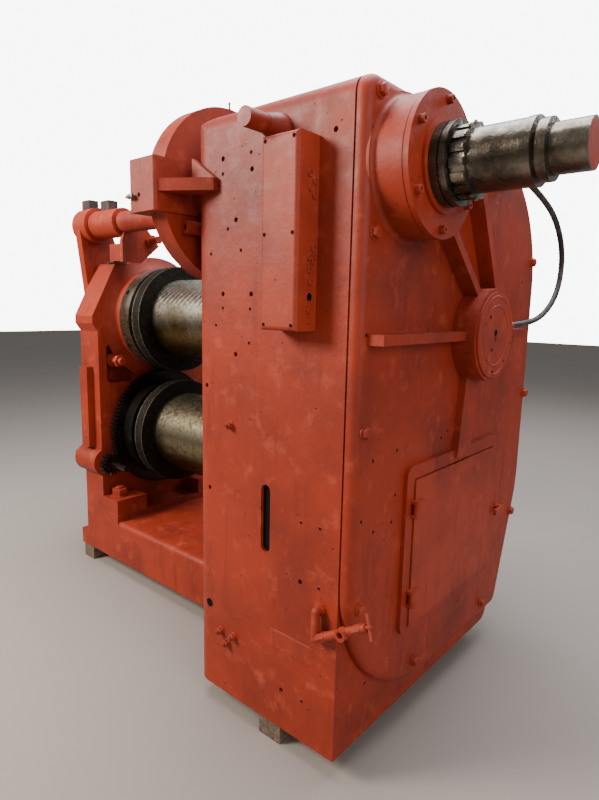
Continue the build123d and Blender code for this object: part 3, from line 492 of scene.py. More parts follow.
@dataclass(frozen=True)
class PaleFloor(Finish):
    """Plain pale studio floor."""

    tone: str = "#8b837c"

    def build(self) -> bpy.types.Material:
        """Make the material: one pale tone with a very faint change over 900 mm.

        Returns:
            The material.
        """
        material, _, (wide,) = self.start(Noise(900.0, 2.0, 0.5))
        tree = material.node_tree
        colour = self.lay(tree, linear(self.tone), Layer(wide, 0.0, 1.0, linear(self.tone, 0.94)))
        roughness = add_node(tree, "MapRange", {0: wide, 3: 0.8, 4: 0.9})
        self.close(tree, {"Base Color": colour, "Roughness": roughness})
        return material


PRIMER = SprayedPrimer("sprayed_red_oxide_primer")
PRIMER_SMOOTH = SprayedPrimer(
    "sprayed_primer_on_plate", coat="#913019", thin="#702215", dry="#a4452f", chip="#351711", cast_mm=0.35
)
SHAFT_STEEL = GreasedSteel(
    "greased_turned_steel", metal="#7d766a", grease="#15110c", film="#463b28", lumps_mm=3.6, cover=0.72
)
RING_STEEL = GreasedSteel(
    "oily_bearing_ring_steel", metal="#b3ada0", grease="#1b1611", film="#6c604b", lumps_mm=1.2, cover=0.3
)
NUT_STEEL = GreasedSteel(
    "worn_greasy_nut_steel", metal="#a39c8e", grease="#14100c", film="#4b402f", lumps_mm=2.6, cover=0.6
)
GEAR_STEEL = GreasedSteel(
    "black_greased_gear_steel", metal="#332e27", grease="#0b0907", film="#1c1711", lumps_mm=2.6, cover=1.0
)
BARE_STEEL = GreasedSteel(
    "dull_bare_steel",
    metal="#8d8a83",
    grease="#3a3129",
    film="#6d675d",
    lumps_mm=0.5,
    cover=0.0,
    turned=False,
)
UPPER_ROLL_STEEL = RollFaceSteel("upper_roll_steel")
LOWER_ROLL_STEEL = RollFaceSteel(
    "lower_roll_steel", metal="#978d74", film="#51411f", axis_up=785.0, groove_mm=0.0
)
TIMBER = SawnTimber("sawn_sleeper_softwood")
RUBBER = DustyRubber("dusty_black_rubber")
GREY_CASE = DustyRubber("dirty_grey_moulded_case", rubber="#261b19", dust="#552e27")
HOLE_SHADE = PaintedHoleShade("painted_hole_shade")
FLOOR_TONE = PaleFloor("pale_studio_floor")


class Store:
    """Materials that are made once and then shared."""

    made: Dict[str, bpy.types.Material] = {}

    @classmethod
    def get(cls, finish: Finish) -> bpy.types.Material:
        """Give the material of a finish, made on first use.

        Args:
            finish: the finish.

        Returns:
            Its material.
        """
        if finish.name not in cls.made:
            cls.made[finish.name] = finish.build()
        return cls.made[finish.name]


def grid_faces(rows: int, columns: int, closed: bool = True) -> np.ndarray:
    """Number the quads of a grid whose vertices are stored row by row.

    Args:
        rows: how many rows of vertices.
        columns: how many vertices in a row.
        closed: whether the last column joins the first.

    Returns:
        One row of four vertex numbers per quad: here, right, right above, above.
    """
    steps = np.arange(columns if closed else columns - 1)
    row, column = np.meshgrid(np.arange(rows - 1), steps, indexing="ij")
    here = row * columns + column
    right = row * columns + (column + 1) % columns
    return np.stack((here, right, right + columns, here + columns), axis=-1).reshape(-1, 4)


def turned_grid(
    radii: Sequence[float],
    heights: Sequence[float],
    sides: int,
    flats: Sequence[float] = (),
) -> np.ndarray:
    """Turn a profile round an axis, some rows of it with six flats.

    Args:
        radii: the profile's radius at each row.
        heights: the profile's height at each row.
        sides: how many vertices go round.
        flats: for each row, 1 where it is hexagonal and 0 where it is round.

    Returns:
        Points (r cos t, r sin t, h). A hexagonal row's r is its radius over the cosine of the angle to
        the nearest flat's middle.
    """
    turn = np.arange(sides) * 2.0 * np.pi / sides
    nearest = (turn + np.pi / 6.0) % (np.pi / 3.0) - np.pi / 6.0
    share = np.asarray(flats if len(flats) else np.zeros(len(radii)))[:, None]
    radius = np.asarray(radii)[:, None] * (1.0 + share * (1.0 / np.cos(nearest)[None, :] - 1.0))
    high = np.broadcast_to(np.asarray(heights)[:, None], radius.shape)
    return np.stack((radius * np.cos(turn), radius * np.sin(turn), high), axis=-1).reshape(-1, 3)


def circle_places(across: float, axis: Spot, radius: float, degrees: Sequence[float]) -> np.ndarray:
    """Find places round an axis that runs across the machine.

    Args:
        across: how far across they lie.
        axis: the axis's place back and its height.
        radius: how far they lie from it.
        degrees: the turn of each, from back towards up.

    Returns:
        One row for each: (across, back + r cos t, up + r sin t).
    """
    turn = np.radians(np.asarray(degrees, float))
    back = axis[0] + radius * np.cos(turn)
    up = axis[1] + radius * np.sin(turn)
    return np.column_stack((np.full(len(turn), across), back, up))


def stand_on_rim(local: np.ndarray, centre: np.ndarray, degrees: float) -> np.ndarray:
    """Turn a form so that it points away from an axis that runs across, and move it to its place.

    Args:
        local: the form's points in millimetres, outward last.
        centre: where it stands, in measured millimetres.
        degrees: the way outward, from back towards up.

    Returns:
        Points in measured millimetres: centre + local turned into (across, round, outward).
    """
    angle = np.radians(degrees)
    outward = np.array([0.0, np.cos(angle), np.sin(angle)])
    along = np.array([1.0, 0.0, 0.0])
    return centre + local @ np.stack((along, np.cross(outward, along), outward))


def stamp(
    local: np.ndarray,
    faces: np.ndarray,
    centres: Sequence[Point],
    facing: Facing,
) -> Tuple[np.ndarray, np.ndarray]:
    """Repeat one small form at many places.

    Args:
        local: the form's points in millimetres, outward last.
        faces: its quads.
        centres: where the copies stand, in measured millimetres.
        facing: the way that they stand out.

    Returns:
        All points in metres and all quads. Each copy is centre + local turned by the facing's rows.
    """
    turned = local @ facing.rows()
    points = np.asarray(centres, float)[:, None, :] + turned[None, :, :]
    shifts = np.arange(len(points))[:, None, None] * len(local)
    return place(points.reshape(-1, 3)), (faces[None, :, :] + shifts).reshape(-1, faces.shape[1])


def make_piece(
    name: str,
    points: np.ndarray,
    faces: np.ndarray,
    finish: Finish = PRIMER_SMOOTH,
    body: str = "frame",
    slot: str = "red_primer",
) -> None:
    """Make a mesh piece in its final place, closed at its poles, facing outwards.

    Args:
        name: the piece's name.
        points: its vertices in metres.
        faces: its quads.
        finish: what it is made of.
        body: the body that it rides on.
        slot: the record's material slot; not used.
    """
    mesh = bpy.data.meshes.new(name)
    mesh.from_pydata(points.tolist(), [], faces.tolist())
    shape = bmesh.new()
    shape.from_mesh(mesh)
    bmesh.ops.remove_doubles(shape, verts=shape.verts, dist=2e-6)
    bmesh.ops.recalc_face_normals(shape, faces=shape.faces)
    shape.to_mesh(mesh)
    shape.free()
    mesh.polygons.foreach_set("use_smooth", np.ones(len(mesh.polygons), bool))
    mesh.set_sharp_from_angle(angle=0.6)
    mesh.materials.append(Store.get(finish))
    piece = bpy.data.objects.new(name, mesh)
    bpy.context.scene.collection.objects.link(piece)
    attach(piece, body)
    LOG.info("made %s, %d faces, on %s", name, len(mesh.polygons), body)


def dress(node: str, finish: Finish) -> None:
    """Give a solid of the frame its finish, in every slot that it has.

    Args:
        node: the solid's name.
        finish: what it is made of.
    """
    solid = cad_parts[node]
    material = Store.get(finish)
    if not solid.data.materials:
        solid.data.materials.append(material)
    for number in range(len(solid.material_slots)):
        solid.material_slots[number].material = material
    LOG.info("dressed %s with %s", node, finish.name)


@dataclass
class Heads:
    """Small painted heads of one form, repeated at many places."""

    def form(self) -> Tuple[np.ndarray, np.ndarray]:
        """One head's points in millimetres and its quads, which each kind of head gives."""
        raise NotImplementedError

    def make(self, name: str, centres: Sequence[Point], facing: Facing) -> None:
        """Make one piece of all the heads at the given places."""
        local, faces = self.form()
        make_piece(name, *stamp(local, faces, centres, facing))


@dataclass
class HexHeads(Heads):
    """Painted hexagon heads on round washers."""

    flat_radius: float
    height: float
    washer_radius: float
    washer_height: float
    sides: int = 36

    def form(self) -> Tuple[np.ndarray, np.ndarray]:
        """One head: washer, neck, six flats, a chamfer and a slightly crowned top.

        Returns:
            Its points in millimetres and its quads.
        """
        flat = self.flat_radius
        washer = self.washer_radius
        foot = self.washer_height
        top = foot + self.height
        radii = [0.0, washer, washer, washer - 1.5, flat, flat, flat, flat * 0.94, flat * 0.9, 0.0]
        heights = [-1.0, -1.0, foot - 1.2, foot, foot, foot + 1.0, top - 3.0, top - 0.8, top, top + 0.6]
        flats = [0, 0, 0, 0, 1, 1, 1, 0.35, 0, 0]
        return turned_grid(radii, heights, self.sides, flats), grid_faces(len(radii), self.sides)


@dataclass
class CapScrews(Heads):
    """Round cap screws with a worn hexagon socket, thick with paint."""

    radius: float
    height: float
    socket_radius: float
    socket_depth: float
    sides: int = 30

    def form(self) -> Tuple[np.ndarray, np.ndarray]:
        """One screw: a round cap with a chamfer and a six-sided socket.

        Returns:
            Its points in millimetres and its quads.
        """
        top = self.height
        hollow = self.socket_radius
        floor = top - self.socket_depth
        radii = [0.0, self.radius, self.radius, self.radius - 1.2, hollow + 1.0, hollow, hollow, 0.0]
        heights = [-1.0, -1.0, top - 1.4, top, top, top - 0.8, floor, floor]
        flats = [0, 0, 0, 0, 0, 1, 1, 0]
        return turned_grid(radii, heights, self.sides, flats), grid_faces(len(radii), self.sides)


@dataclass
class HoleMouths:
    """Small open holes: a burred, painted lip round a dark dish of painted shade."""

    radius: float
    lip: float
    sides: int = 24

    def make(self, name: str, centres: Sequence[Point], facing: Facing) -> None:
        """Make the lips as one piece and the dark dishes of painted shade as another.

        Args:
            name: the start of both pieces' names.
            centres: where the holes are, in measured millimetres.
            facing: the way that they open.
        """
        edge = self.radius
        radii = [edge + self.lip, edge + self.lip * 0.6, edge, edge - 0.4, edge - 0.4]
        lips = turned_grid(radii, [-0.5, 0.5, 0.9, 0.5, -0.5], self.sides)
        make_piece(name + "_lips", *stamp(lips, grid_faces(5, self.sides), centres, facing))
        # the near-black dish is painted shade for the hole's depth
        dish = turned_grid([edge - 0.3, edge - 0.3, edge * 0.6, 0.0], [-0.5, 0.45, 0.3, 0.2], self.sides)
        make_piece(name + "_dark", *stamp(dish, grid_faces(4, self.sides), centres, facing), HOLE_SHADE)


def turned_along_x(profile: Sequence[Spot], axis: Spot, sides: int) -> Tuple[np.ndarray, np.ndarray]:
    """Turn a closed profile round an axis that runs across the machine.

    Args:
        profile: across and radius of each corner, in order round the section.
        axis: the axis's place back and its height.
        sides: how many vertices go round.

    Returns:
        Points (across, back + r cos t, up + r sin t) in metres, and the quads.
    """
    back, up = axis
    section = np.asarray(list(profile) + [profile[0]], float)
    turn = np.arange(sides) * 2.0 * np.pi / sides
    across = np.repeat(section[:, 0], sides)
    radius = np.repeat(section[:, 1], sides)
    angle = np.tile(turn, len(section))
    points = np.stack((across, back + radius * np.cos(angle), up + radius * np.sin(angle)), axis=-1)
    return place(points), grid_faces(len(section), sides)


@dataclass
class GearColumn:
    """The closed column: painted casing, gear cover, box cover and everything bolted to their faces."""

    cover_face: float = 50.0
    plate_face: float = 153.0
    box_front: float = -100.0
    box_side: float = -127.0
    casing_nodes: Tuple[str, ...] = ("column_body", "gear_cover", "lifting_trunnion")
    plate_nodes: Tuple[str, ...] = (
        "inspection_door", "door_hinges", "door_catch", "boss_plate", "box_cover",
    )
    cover_bolts: Tuple[Spot, ...] = (
        (57, 2210), (51, 1809), (42, 1190), (55, 576), (459, 191), (1112, 178), (1460, 1178), (1425, 1815),
        (1405, 570),
    )
    cover_holes: Tuple[Spot, ...] = (
        (251, 1096), (101, 1086), (253, 932), (45, 891), (235, 837), (120, 834), (631, 1106), (583, 1085),
        (1320, 1718), (31, 1500), (106, 277),
    )
    plate_holes: Tuple[Spot, ...] = (
        (950, 1450), (765, 1429), (899, 1377), (782, 1340), (731, 1558),
    )
    plate_eye: Spot = (792.0, 1495.0)
    front_holes: Tuple[Spot, ...] = (
        (-571, 2045), (-428, 2098), (-637, 1769), (-476, 1776), (-571, 1571), (-428, 1570), (-610, 1507),
        (-432, 1449), (-544, 1853), (-168, 842), (-84, 843), (-82, 627), (-147, 164),
    )
    large_front_hole: Spot = (-652.0, 363.0)
    front_nuts: Tuple[Spot, ...] = ((-528, 1133), (-582, 267), (-507, 270), (-544, 227))
    stud_stand: float = 18.0
    shaft_boss_hole: Point = (130.0, 26.0, 2021.0)
    rivets: Tuple[Spot, ...] = (
        (-45, 1984), (-21, 1965), (-40, 1941), (-22, 1922), (-22, 1764), (-40, 1736), (-20, 1723),
        (-39, 1696), (-32, 1659), (-36, 1569),
    )
    wire_hole: Spot = (-35.0, 1613.0)
    box_corners_across: Spot = (-264.0, -145.0)
    box_corners_up: Point = (2084.0, 1805.0, 1523.0)
    blank_centre: Spot = (-206.0, 355.0)
    blank_half: Spot = (103.0, 37.0)
    slot_centre: Spot = (-340.0, 810.0)
    slot_radius: float = 22.6
    slot_half_length: float = 107.0
    slot_depth: float = 14.0
    ridge_radii: Spot = (154.0, 118.0)

    def paint(self) -> None:
        """Give the column's solids their primer."""
        for node in self.casing_nodes:
            dress(node, PRIMER)
        for node in self.plate_nodes:
            dress(node, PRIMER_SMOOTH)

    def gear_side_places(self, face: float, spots: Sequence[Spot]) -> Sequence[Point]:
        """Places on a flat that faces the gear side, from their back and up."""
        return [(face, back, up) for back, up in spots]

    def front_places(self, face: float, spots: Sequence[Spot]) -> Sequence[Point]:
        """Places on a flat that faces the front, from their across and up."""
        return [(across, face, up) for across, up in spots]

    def bolts(self) -> None:
        """Add the cover's bolts, the nuts and studs on the front, and the hole in the shaft's boss."""
        heads = HexHeads(flat_radius=17.0, height=15.0, washer_radius=24.0, washer_height=5.0)
        heads.make("cover_bolts", self.gear_side_places(self.cover_face, self.cover_bolts), Facing.GEAR_SIDE)
        nuts = HexHeads(flat_radius=13.0, height=16.0, washer_radius=17.0, washer_height=4.0)
        nuts.make("front_nuts", self.front_places(0.0, self.front_nuts), Facing.FRONT)
        studs = CapScrews(radius=7.0, height=12.0, socket_radius=2.5, socket_depth=2.0)
        studs.make("front_studs", self.front_places(-self.stud_stand, self.front_nuts), Facing.FRONT)
        HoleMouths(radius=8.0, lip=3.0).make("boss_eye", [self.shaft_boss_hole], Facing.FRONT)

    def holes(self) -> None:
        """Add the open holes of the cover, the front and the boss plate."""
        cover = self.gear_side_places(self.cover_face, self.cover_holes)
        HoleMouths(radius=6.5, lip=2.0).make("cover_small_holes", cover, Facing.GEAR_SIDE)
        front = self.front_places(0.0, self.front_holes)
        HoleMouths(radius=6.0, lip=2.0).make("front_small_holes", front, Facing.FRONT)
        large = self.front_places(0.0, [self.large_front_hole])
        HoleMouths(radius=19.0, lip=4.0).make("front_large_hole", large, Facing.FRONT)
        plate = self.gear_side_places(self.plate_face, self.plate_holes)
        HoleMouths(radius=8.0, lip=2.5).make("boss_plate_holes", plate, Facing.GEAR_SIDE)
        eye = self.gear_side_places(self.plate_face, [self.plate_eye])
        HoleMouths(radius=15.0, lip=3.5).make("boss_plate_eye", eye, Facing.GEAR_SIDE)

    def box_rivets(self) -> None:
        """Add the rivets and the wire hole on the box cover's side, and the holes down its front's edges."""
        rivet = CapScrews(radius=11.0, height=5.0, socket_radius=7.5, socket_depth=2.5)
        rivet.make("box_rivets", self.gear_side_places(self.box_side, self.rivets), Facing.GEAR_SIDE)
        wire = self.gear_side_places(self.box_side, [self.wire_hole])
        HoleMouths(radius=13.0, lip=3.0).make("box_wire_hole", wire, Facing.GEAR_SIDE)
        corners = [(across, up) for up in self.box_corners_up for across in self.box_corners_across]
        mouths = HoleMouths(radius=6.5, lip=1.5)
        mouths.make("box_corner_holes", self.front_places(self.box_front, corners), Facing.FRONT)

    def blank_plate(self) -> None:
        """Add the blank plate low on the front, a sheet 2 mm proud with a soft edge.

        A point is (a + 103 u, 0.4 - 2.4 (1 - u^16) (1 - v^16), b + 37 v), with u and v from -1 to 1.
        """
        steps = np.sin(np.linspace(-1.0, 1.0, 41) * np.pi / 2.0)
        side, rise = np.meshgrid(steps, steps, indexing="ij")
        stand = 2.4 * (1.0 - side ** 16) * (1.0 - rise ** 16)
        across = self.blank_centre[0] + side * self.blank_half[0]
        up = self.blank_centre[1] + rise * self.blank_half[1]
        points = np.stack((across, -stand + 0.4, up), axis=-1).reshape(-1, 3)
        make_piece("blank_front_plate", place(points), grid_faces(41, 41, False))

    def slot_floor(self) -> None:
        """Add painted shade inside the long slot: a near-black flat stadium a little behind the front face.

        A point is (a + s r cos t, depth, b + s (r sin t + half length * sign(sin t))), with s from 1 to 0.
        """
        turn = (np.arange(72) + 0.5) * np.pi / 36.0
        share = np.array([1.0, 0.75, 0.5, 0.25, 0.02])[:, None]
        across = self.slot_centre[0] + share * self.slot_radius * np.cos(turn)
        rise = self.slot_radius * np.sin(turn) + self.slot_half_length * np.sign(np.sin(turn))
        up = self.slot_centre[1] + share * rise
        points = np.stack((across, np.full_like(across, self.slot_depth), up), axis=-1).reshape(-1, 3)
        make_piece("slot_painted_shade", place(points), grid_faces(5, 72), HOLE_SHADE)

    def plate_rings(self) -> None:
        """Add the two low turned ridges on the centre boss's plate."""
        low, high = self.plate_face - 0.4, self.plate_face + 1.8
        for name, radius in zip(("outer_plate_ring", "inner_plate_ring"), self.ridge_radii):
            profile = [(low, radius - 3.0), (high, radius - 1.0), (high, radius + 1.0), (low, radius + 3.0)]
            make_piece(name, *turned_along_x(profile, UPPER_ROLL_AXIS, 128))

    def build(self) -> None:
        """Paint the column and add its small pieces."""
        self.paint()
        self.slot_floor()
        self.plate_rings()
        self.bolts()
        self.holes()
        self.box_rivets()
        self.blank_plate()


@dataclass
class DriveEnd:
    """The drive shaft's end: painted flange, its screws, greased nut and shaft."""

    flange_face: float = 172.0
    screw_circle: float = 190.0
    shaft_end: float = 598.0
    coat_radius: float = 66.3
    tabs: int = 17
    tab_across: Spot = (281.5, 275.5)
    tab_half_width: float = 6.5

    def build(self) -> None:
        """Dress the shaft's solids and add the flange screws, the painted shaft end and the nut's tabs."""
        dress("shaft_flange", PRIMER)
        dress("seal_ring", SHAFT_STEEL)
        dress("lock_nut", NUT_STEEL)
        dress("drive_shaft", SHAFT_STEEL)
        places = circle_places(self.flange_face, SHAFT_AXIS, self.screw_circle, range(30, 360, 60))
        screws = CapScrews(radius=13.0, height=20.0, socket_radius=5.5, socket_depth=9.0)
        screws.make("flange_screws", places, Facing.GEAR_SIDE)
        self.shaft_end_paint()
        self.nut_teeth()

    def shaft_end_paint(self) -> None:
        """Add the coat of primer on the shaft's end face, with an uneven edge.

        A point is (end + 0.5, r cos t, r sin t), with r up to 66.3 + 0.5 sin 3t + 0.3 sin 7t.
        """
        back, up = SHAFT_AXIS
        turn = np.arange(96) * 2.0 * np.pi / 96
        share = np.linspace(1.0, 0.0, 9)
        reach = self.coat_radius + 0.5 * np.sin(3.0 * turn) + 0.3 * np.sin(7.0 * turn)
        radius = share[:, None] * reach[None, :]
        stand = np.where(share > 0.99, -0.3, 0.5)[:, None] + np.zeros_like(radius)
        across = self.shaft_end + stand
        points = np.stack((across, back + radius * np.cos(turn), up + radius * np.sin(turn)), axis=-1)
        make_piece("shaft_end_coat", place(points.reshape(-1, 3)), grid_faces(9, 96), body="drive_shaft")

    def nut_teeth(self) -> None:
        """Add the locking washer's bent tabs that stand round the nut.

        Each tab is a strip of plate, radius from 99 to 111.5 and 6 mm thick, its corners worn.
        """
        angles = np.radians(np.arange(0.0, 360.0, 360.0 / self.tabs))
        width = np.array([-1.0, -0.92, 0.92, 1.0]) * self.tab_half_width
        low = np.full(4, 99.0)
        high = np.array([110.0, 111.5, 111.5, 110.0])
        front, behind = self.tab_across
        parts = []
        for across, radius in ((front, low), (front, high), (behind, high), (behind, low), (front, low)):
            flat = radius * np.cos(angles)[:, None] - width * np.sin(angles)[:, None]
            rise = radius * np.sin(angles)[:, None] + width * np.cos(angles)[:, None]
            strip = (np.full_like(flat, across), SHAFT_AXIS[0] + flat, SHAFT_AXIS[1] + rise)
            parts.append(np.stack(strip, axis=-1))
        grid = np.stack(parts, axis=1)
        ends = np.array([[0, 4, 8, 12], [3, 15, 11, 7]])
        faces = np.concatenate((grid_faces(5, 4, False), ends))
        shifts = np.arange(len(angles))[:, None, None] * 20
        quads = (faces[None] + shifts).reshape(-1, 4)
        points = place(grid.reshape(-1, 3))
        make_piece("nut_washer_tabs", points, quads, RING_STEEL, "drive_shaft", "greasy_steel")


@dataclass
class RollStand:
    """The left housing, the base and the two rolls between housing and column."""

    roll_back: float = UPPER_ROLL_AXIS[0]
    ring_across: float = -2004.0
    ring_radius: float = 316.0
    foot_across: float = -2050.0
    foot_front: float = 455.0
    foot_top: float = 383.0
    bed_joint: float = 288.0

    def build(self) -> None:
        """Dress the stand's solids and add the ring's holes, the foot nuts and the seams of paint."""
        for node in ("base_frame", "left_housing"):
            dress(node, PRIMER)
        dress("upper_roll", UPPER_ROLL_STEEL)
        dress("lower_roll", LOWER_ROLL_STEEL)
        for node in ("upper_bush_ring", "upper_column_ring", "lower_column_ring"):
            dress(node, RING_STEEL)
        for node in ("eccentric_bush", "adjusting_gear", "adjusting_pinion"):
            dress(node, GEAR_STEEL)
        dress("link_stud", PRIMER_SMOOTH)
        self.ring_holes()
        self.foot_bolts()
        self.foot_seams()

    def ring_holes(self) -> None:
        """Add the dark mouths of the tapped holes round the upper bush ring, dishes of painted shade."""
        local = turned_grid([16.5, 16.0, 13.5, 13.0, 7.5, 0.0], [-1.5, 0.8, 1.0, 0.5, 0.3, 0.2], 24)
        turns = (150.0, 210.0, 330.0, 30.0)
        holes = circle_places(self.ring_across, UPPER_ROLL_AXIS, self.ring_radius, turns)
        for number, (hole, degrees) in enumerate(zip(holes, turns)):
            points = place(stand_on_rim(local, hole, degrees))
            make_piece(f"ring_hole_{number + 1}", points, grid_faces(6, 24), HOLE_SHADE, slot="greasy_steel")

    def foot_bolts(self) -> None:
        """Add the large nuts and studs that hold the housing's foot ledges to the bed."""
        backs = (self.foot_front, 2.0 * self.roll_back - self.foot_front)
        places = [(self.foot_across, back, self.foot_top) for back in backs]
        nuts = HexHeads(flat_radius=42.0, height=40.0, washer_radius=52.0, washer_height=6.0)
        nuts.make("foot_nuts", places, Facing.UP)
        tops = [(across, back, up + 44.0) for across, back, up in places]
        studs = CapScrews(radius=24.0, height=14.0, socket_radius=5.0, socket_depth=3.0)
        studs.make("foot_studs", tops, Facing.UP)

    def foot_seams(self) -> None:
        """Add the ridge of paint along the joint between each foot ledge and the bed.

        A point is (corner + outward * stand, joint height + rise), for three corners and three steps.
        """
        corners = np.array([(-2310.0, -419.0), (-1952.0, -419.0), (-1952.0, -209.0)])
        outward = np.array([(0.0, -1.0), (1.0, -1.0), (1.0, 0.0)])
        stands = np.array([-0.5, 3.0, -0.5])
        rises = np.array([-3.5, 0.5, 2.5])
        for name, side in (("front_foot_seam", 1.0), ("rear_foot_seam", -1.0)):
            across = corners[:, :1] + outward[:, :1] * stands
            back = self.roll_back + side * (corners[:, 1:] + outward[:, 1:] * stands)
            up = np.broadcast_to(self.bed_joint + rises, across.shape)
            points = np.stack((across, back, up), axis=-1).reshape(-1, 3)
            make_piece(name, place(points), grid_faces(3, 3))


@dataclass
class BrakeDrum:
    """The drum behind the column's front corner, its torque block, lug and small fittings."""

    pin_across: float = -800.0
    rim_radius: float = 344.0
    elbow: Point = (-905.0, -146.0, 1979.0)
    nipple_front: float = -157.0
    block_hole: Point = (-876.0, -146.0, 1984.0)

    def build(self) -> None:
        """Dress the drum's solids and add the pin, the grease fitting and the block's hole."""
        dress("drum_housing", PRIMER)
        dress("torque_lug", PRIMER)
        self.top_pin()
        self.grease_fitting()

    def top_pin(self) -> None:
        """Add the small stepped pin that stands on top of the drum's rim."""
        radii = [0.0, 5.0, 5.0, 3.6, 3.6, 4.6, 4.6, 3.2, 0.0]
        heights = [-4.0, -4.0, 5.0, 7.0, 22.0, 23.0, 29.0, 31.0, 31.5]
        top = 90.0
        foot = circle_places(self.pin_across, SHAFT_AXIS, self.rim_radius, [top])[0]
        points = stand_on_rim(turned_grid(radii, heights, 20), foot, top)
        make_piece("drum_pin", place(points), grid_faces(9, 20))

    def grease_fitting(self) -> None:
        """Add the elbow and nipple of the grease point on the block's front face, and the hole beside it."""
        elbow = turned_grid([0.0, 11.0, 11.0, 9.0, 9.0, 0.0], [-1.0, -1.0, 4.0, 5.0, 20.0, 21.0], 24)
        points, quads = stamp(elbow, grid_faces(6, 24), [self.elbow], Facing.FRONT)
        make_piece("block_grease_elbow", points, quads, BARE_STEEL, slot="bare_steel")
        radii = [0.0, 11.0, 11.0, 8.0, 8.0, 9.5, 9.5, 6.0, 6.0, 4.0, 6.0, 6.0, 3.0, 0.0]
        heights = [-2.0, -2.0, 7.0, 8.0, 13.0, 14.0, 21.0, 22.0, 27.0, 30.0, 33.0, 38.0, 42.0, 42.5]
        flats = [0, 0, 0.6, 0, 0, 1, 1, 0, 0, 0, 0, 0, 0, 0]
        nipple = turned_grid(radii, heights, 24, flats)
        across, _, up = self.elbow
        centre = (across, self.nipple_front, up)
        points, quads = stamp(nipple, grid_faces(14, 24), [centre], Facing.ROLL_SIDE)
        make_piece("block_grease_fitting", points, quads, BARE_STEEL, slot="bare_steel")
        HoleMouths(radius=8.5, lip=2.5).make("block_side_hole", [self.block_hole], Facing.FRONT)


@dataclass
class CrossTube:
    """The tube over the housing, its cheeks and sensors."""

    axis: Spot = (500.0, 2044.0)
    collar_face: float = -2400.0
    screw_circle: float = 93.0

    def build(self) -> None:
        """Dress the tube's solids and add the collar's screws."""
        for node in ("cross_tube", "tube_collar", "outer_cheek", "inner_cheek", "cheek_foot", "stay_bolt"):
            dress(node, PRIMER_SMOOTH)
        dress("foot_shim", BARE_STEEL)
        dress("tube_sensors", GREY_CASE)
        places = circle_places(self.collar_face, self.axis, self.screw_circle, range(45, 360, 90))
        screws = CapScrews(radius=7.5, height=8.0, socket_radius=3.5, socket_depth=4.0)
        screws.make("collar_screws", places, Facing.ROLL_SIDE)


@dataclass
class OilHose:
    """The black oil hose in its free loop, with its steel fittings."""

    radius: float = 13.0
    length_m: float = 1.32
    route: Tuple[Point, ...] = (
        (150.0, 1040.0, 2100.0), (150.0, 1230.0, 2068.0), (150.0, 1405.0, 2008.0), (150.0, 1527.0, 1910.0),
        (150.0, 1566.0, 1790.0), (147.0, 1532.0, 1670.0), (140.0, 1420.0, 1580.0), (134.0, 1240.0, 1530.0),
        (128.5, 1016.0, 1522.0),
    )

    def build(self) -> None:
        """Make the hose as a smooth spline through its route's control points."""
        curve = bpy.data.curves.new("oil_hose_line", "CURVE")
        curve.dimensions = "3D"
        curve.bevel_depth = self.radius / MM_PER_METRE
        curve.bevel_resolution = 5
        curve.resolution_u = 24
        curve.use_fill_caps = True
        spline = curve.splines.new("NURBS")
        spline.points.add(len(self.route) - 1)
        points = place(self.route)
        spline.points.foreach_set("co", np.column_stack((points, np.ones(len(points)))).ravel())
        spline.order_u = 3
        spline.use_endpoint_u = True
        curve.materials.append(Store.get(RUBBER))
        hose = bpy.data.objects.new("black_oil_hose", curve)
        bpy.context.scene.collection.objects.link(hose)
        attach(hose, "frame")
        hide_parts("oil_hose")
        dress("hose_top_fitting", PRIMER_SMOOTH)
        dress("hose_end_fitting", PRIMER_SMOOTH)
        LOG.info("made the oil hose")


@dataclass
class Drain:
    """The drain pipe with its small valve."""

    def build(self) -> None:
        """Dress the pipe and its valve's handle."""
        dress("drain_pipe", PRIMER_SMOOTH)
        dress("valve_handle", PRIMER_SMOOTH)


@dataclass
class Packing:
    """The two sleepers under the machine."""

    def build(self) -> None:
        """Dress the sleepers."""
        dress("column_timber", TIMBER)
        dress("base_timber", TIMBER)


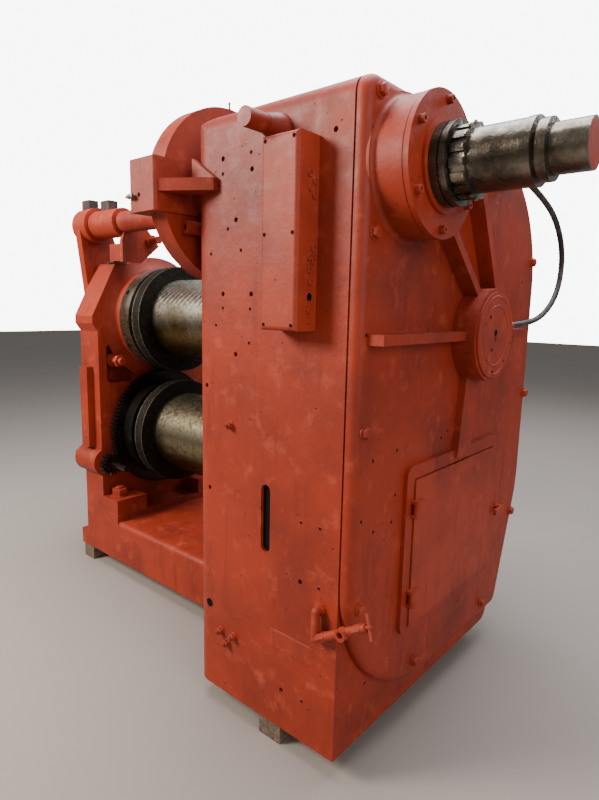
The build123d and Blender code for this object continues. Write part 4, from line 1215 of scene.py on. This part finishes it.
@dataclass
class Studio:
    """Pale floor, soft lights and the photograph's camera, whose place and directions are in metres."""

    focal_pixels: float = 570.4
    image_width: float = 599.0
    sensor_mm: float = 36.0
    floor_half_width: float = 30.0
    surround: float = 0.4
    surround_seen: float = 9.0
    eye: Point = (1.9751, -2.1088, 1.6688)
    right: Point = (0.758476, 0.651348, 0.021425)
    down: Point = (0.121860, -0.109453, -0.986494)
    forward: Point = (-0.640206, 0.750843, -0.162391)

    def camera(self) -> None:
        """Set the camera: focal length in mm is its pixels times the sensor's width over the image's."""
        lens = bpy.data.cameras.new("photo_camera")
        lens.sensor_fit = "HORIZONTAL"
        lens.sensor_width = self.sensor_mm
        lens.lens = self.focal_pixels * self.sensor_mm / self.image_width
        lens.clip_end = 200.0
        camera = bpy.data.objects.new("photo_camera", lens)
        turn = Matrix((self.right, -Vector(self.down), -Vector(self.forward))).transposed()
        camera.matrix_world = Matrix.Translation(Vector(self.eye)) @ turn.to_4x4()
        bpy.context.scene.collection.objects.link(camera)
        bpy.context.scene.camera = camera

    def floor(self) -> None:
        """Lay a wide pale floor at ground level."""
        reach = np.linspace(-self.floor_half_width, self.floor_half_width, 3)
        first, second = np.meshgrid(reach, reach, indexing="ij")
        points = np.stack((first, second, np.zeros_like(first)), axis=-1).reshape(-1, 3)
        mesh = bpy.data.meshes.new("studio_floor")
        mesh.from_pydata(points.tolist(), [], grid_faces(3, 3, False).tolist())
        mesh.materials.append(Store.get(FLOOR_TONE))
        ground = bpy.data.objects.new("studio_floor", mesh)
        bpy.context.scene.collection.objects.link(ground)

    def light(self, name: str, spot: Point, aim: Point, size: float, power: float, tone: str) -> None:
        """Add one large soft light that faces a point.

        Args:
            name: the light's name.
            spot: where it stands, in metres.
            aim: the point that it faces.
            size: its width in metres.
            power: its power in watts.
            tone: its colour as a hex code.
        """
        lamp = bpy.data.lights.new(name, "AREA")
        lamp.shape = "DISK"
        lamp.size = size
        lamp.energy = power
        lamp.color = linear(tone)[:3]
        holder = bpy.data.objects.new(name, lamp)
        direction = Vector(aim) - Vector(spot)
        turn = direction.to_track_quat("-Z", "Y").to_matrix().to_4x4()
        holder.matrix_world = Matrix.Translation(Vector(spot)) @ turn
        bpy.context.scene.collection.objects.link(holder)

    def sky(self) -> None:
        """Set a plain pale surround, brighter where the camera sees it than where it lights the machine."""
        world = bpy.data.worlds.new("pale_surround")
        world.use_nodes = True
        background = world.node_tree.nodes["Background"]
        background.inputs["Color"].default_value = linear("#eef0f3")
        seen = add_node(world.node_tree, "LightPath", {}, "Is Camera Ray")
        inputs = {0: seen, 1: self.surround_seen, 2: self.surround}
        strength = add_node(world.node_tree, "Math", inputs, operation="MULTIPLY_ADD")
        world.node_tree.links.new(strength, background.inputs["Strength"])
        bpy.context.scene.world = world

    def build(self) -> None:
        """Set camera, floor, surround and lights."""
        self.camera()
        self.floor()
        self.sky()
        self.light("soft_key", (-2.6, -4.2, 3.9), (0.1, -0.5, 1.9), 2.0, 560.0, "#fff4e8")
        self.light("soft_fill", (6.5, -2.5, 3.4), (0.4, 0.0, 1.2), 4.5, 250.0, "#fff6f0")
        self.light("soft_back", (1.5, 6.5, 6.0), (0.0, 0.0, 1.4), 4.0, 260.0, "#f4f6ff")
        self.light("open_sky", (0.2, 0.4, 6.2), (0.2, 0.3, 0.0), 5.0, 650.0, "#f6f8ff")


def main() -> None:
    """Build camera, hose and every sub-assembly in order."""
    logging.basicConfig(level=logging.INFO, format="%(name)s: %(message)s")
    column_side = [Studio(), OilHose(), GearColumn(), DriveEnd()]
    roll_side = [RollStand(), BrakeDrum(), CrossTube(), Drain(), Packing()]
    for builder in column_side + roll_side:
        builder.build()
        LOG.info("finished %s", type(builder).__name__)


if __name__ == "__main__":
    main()
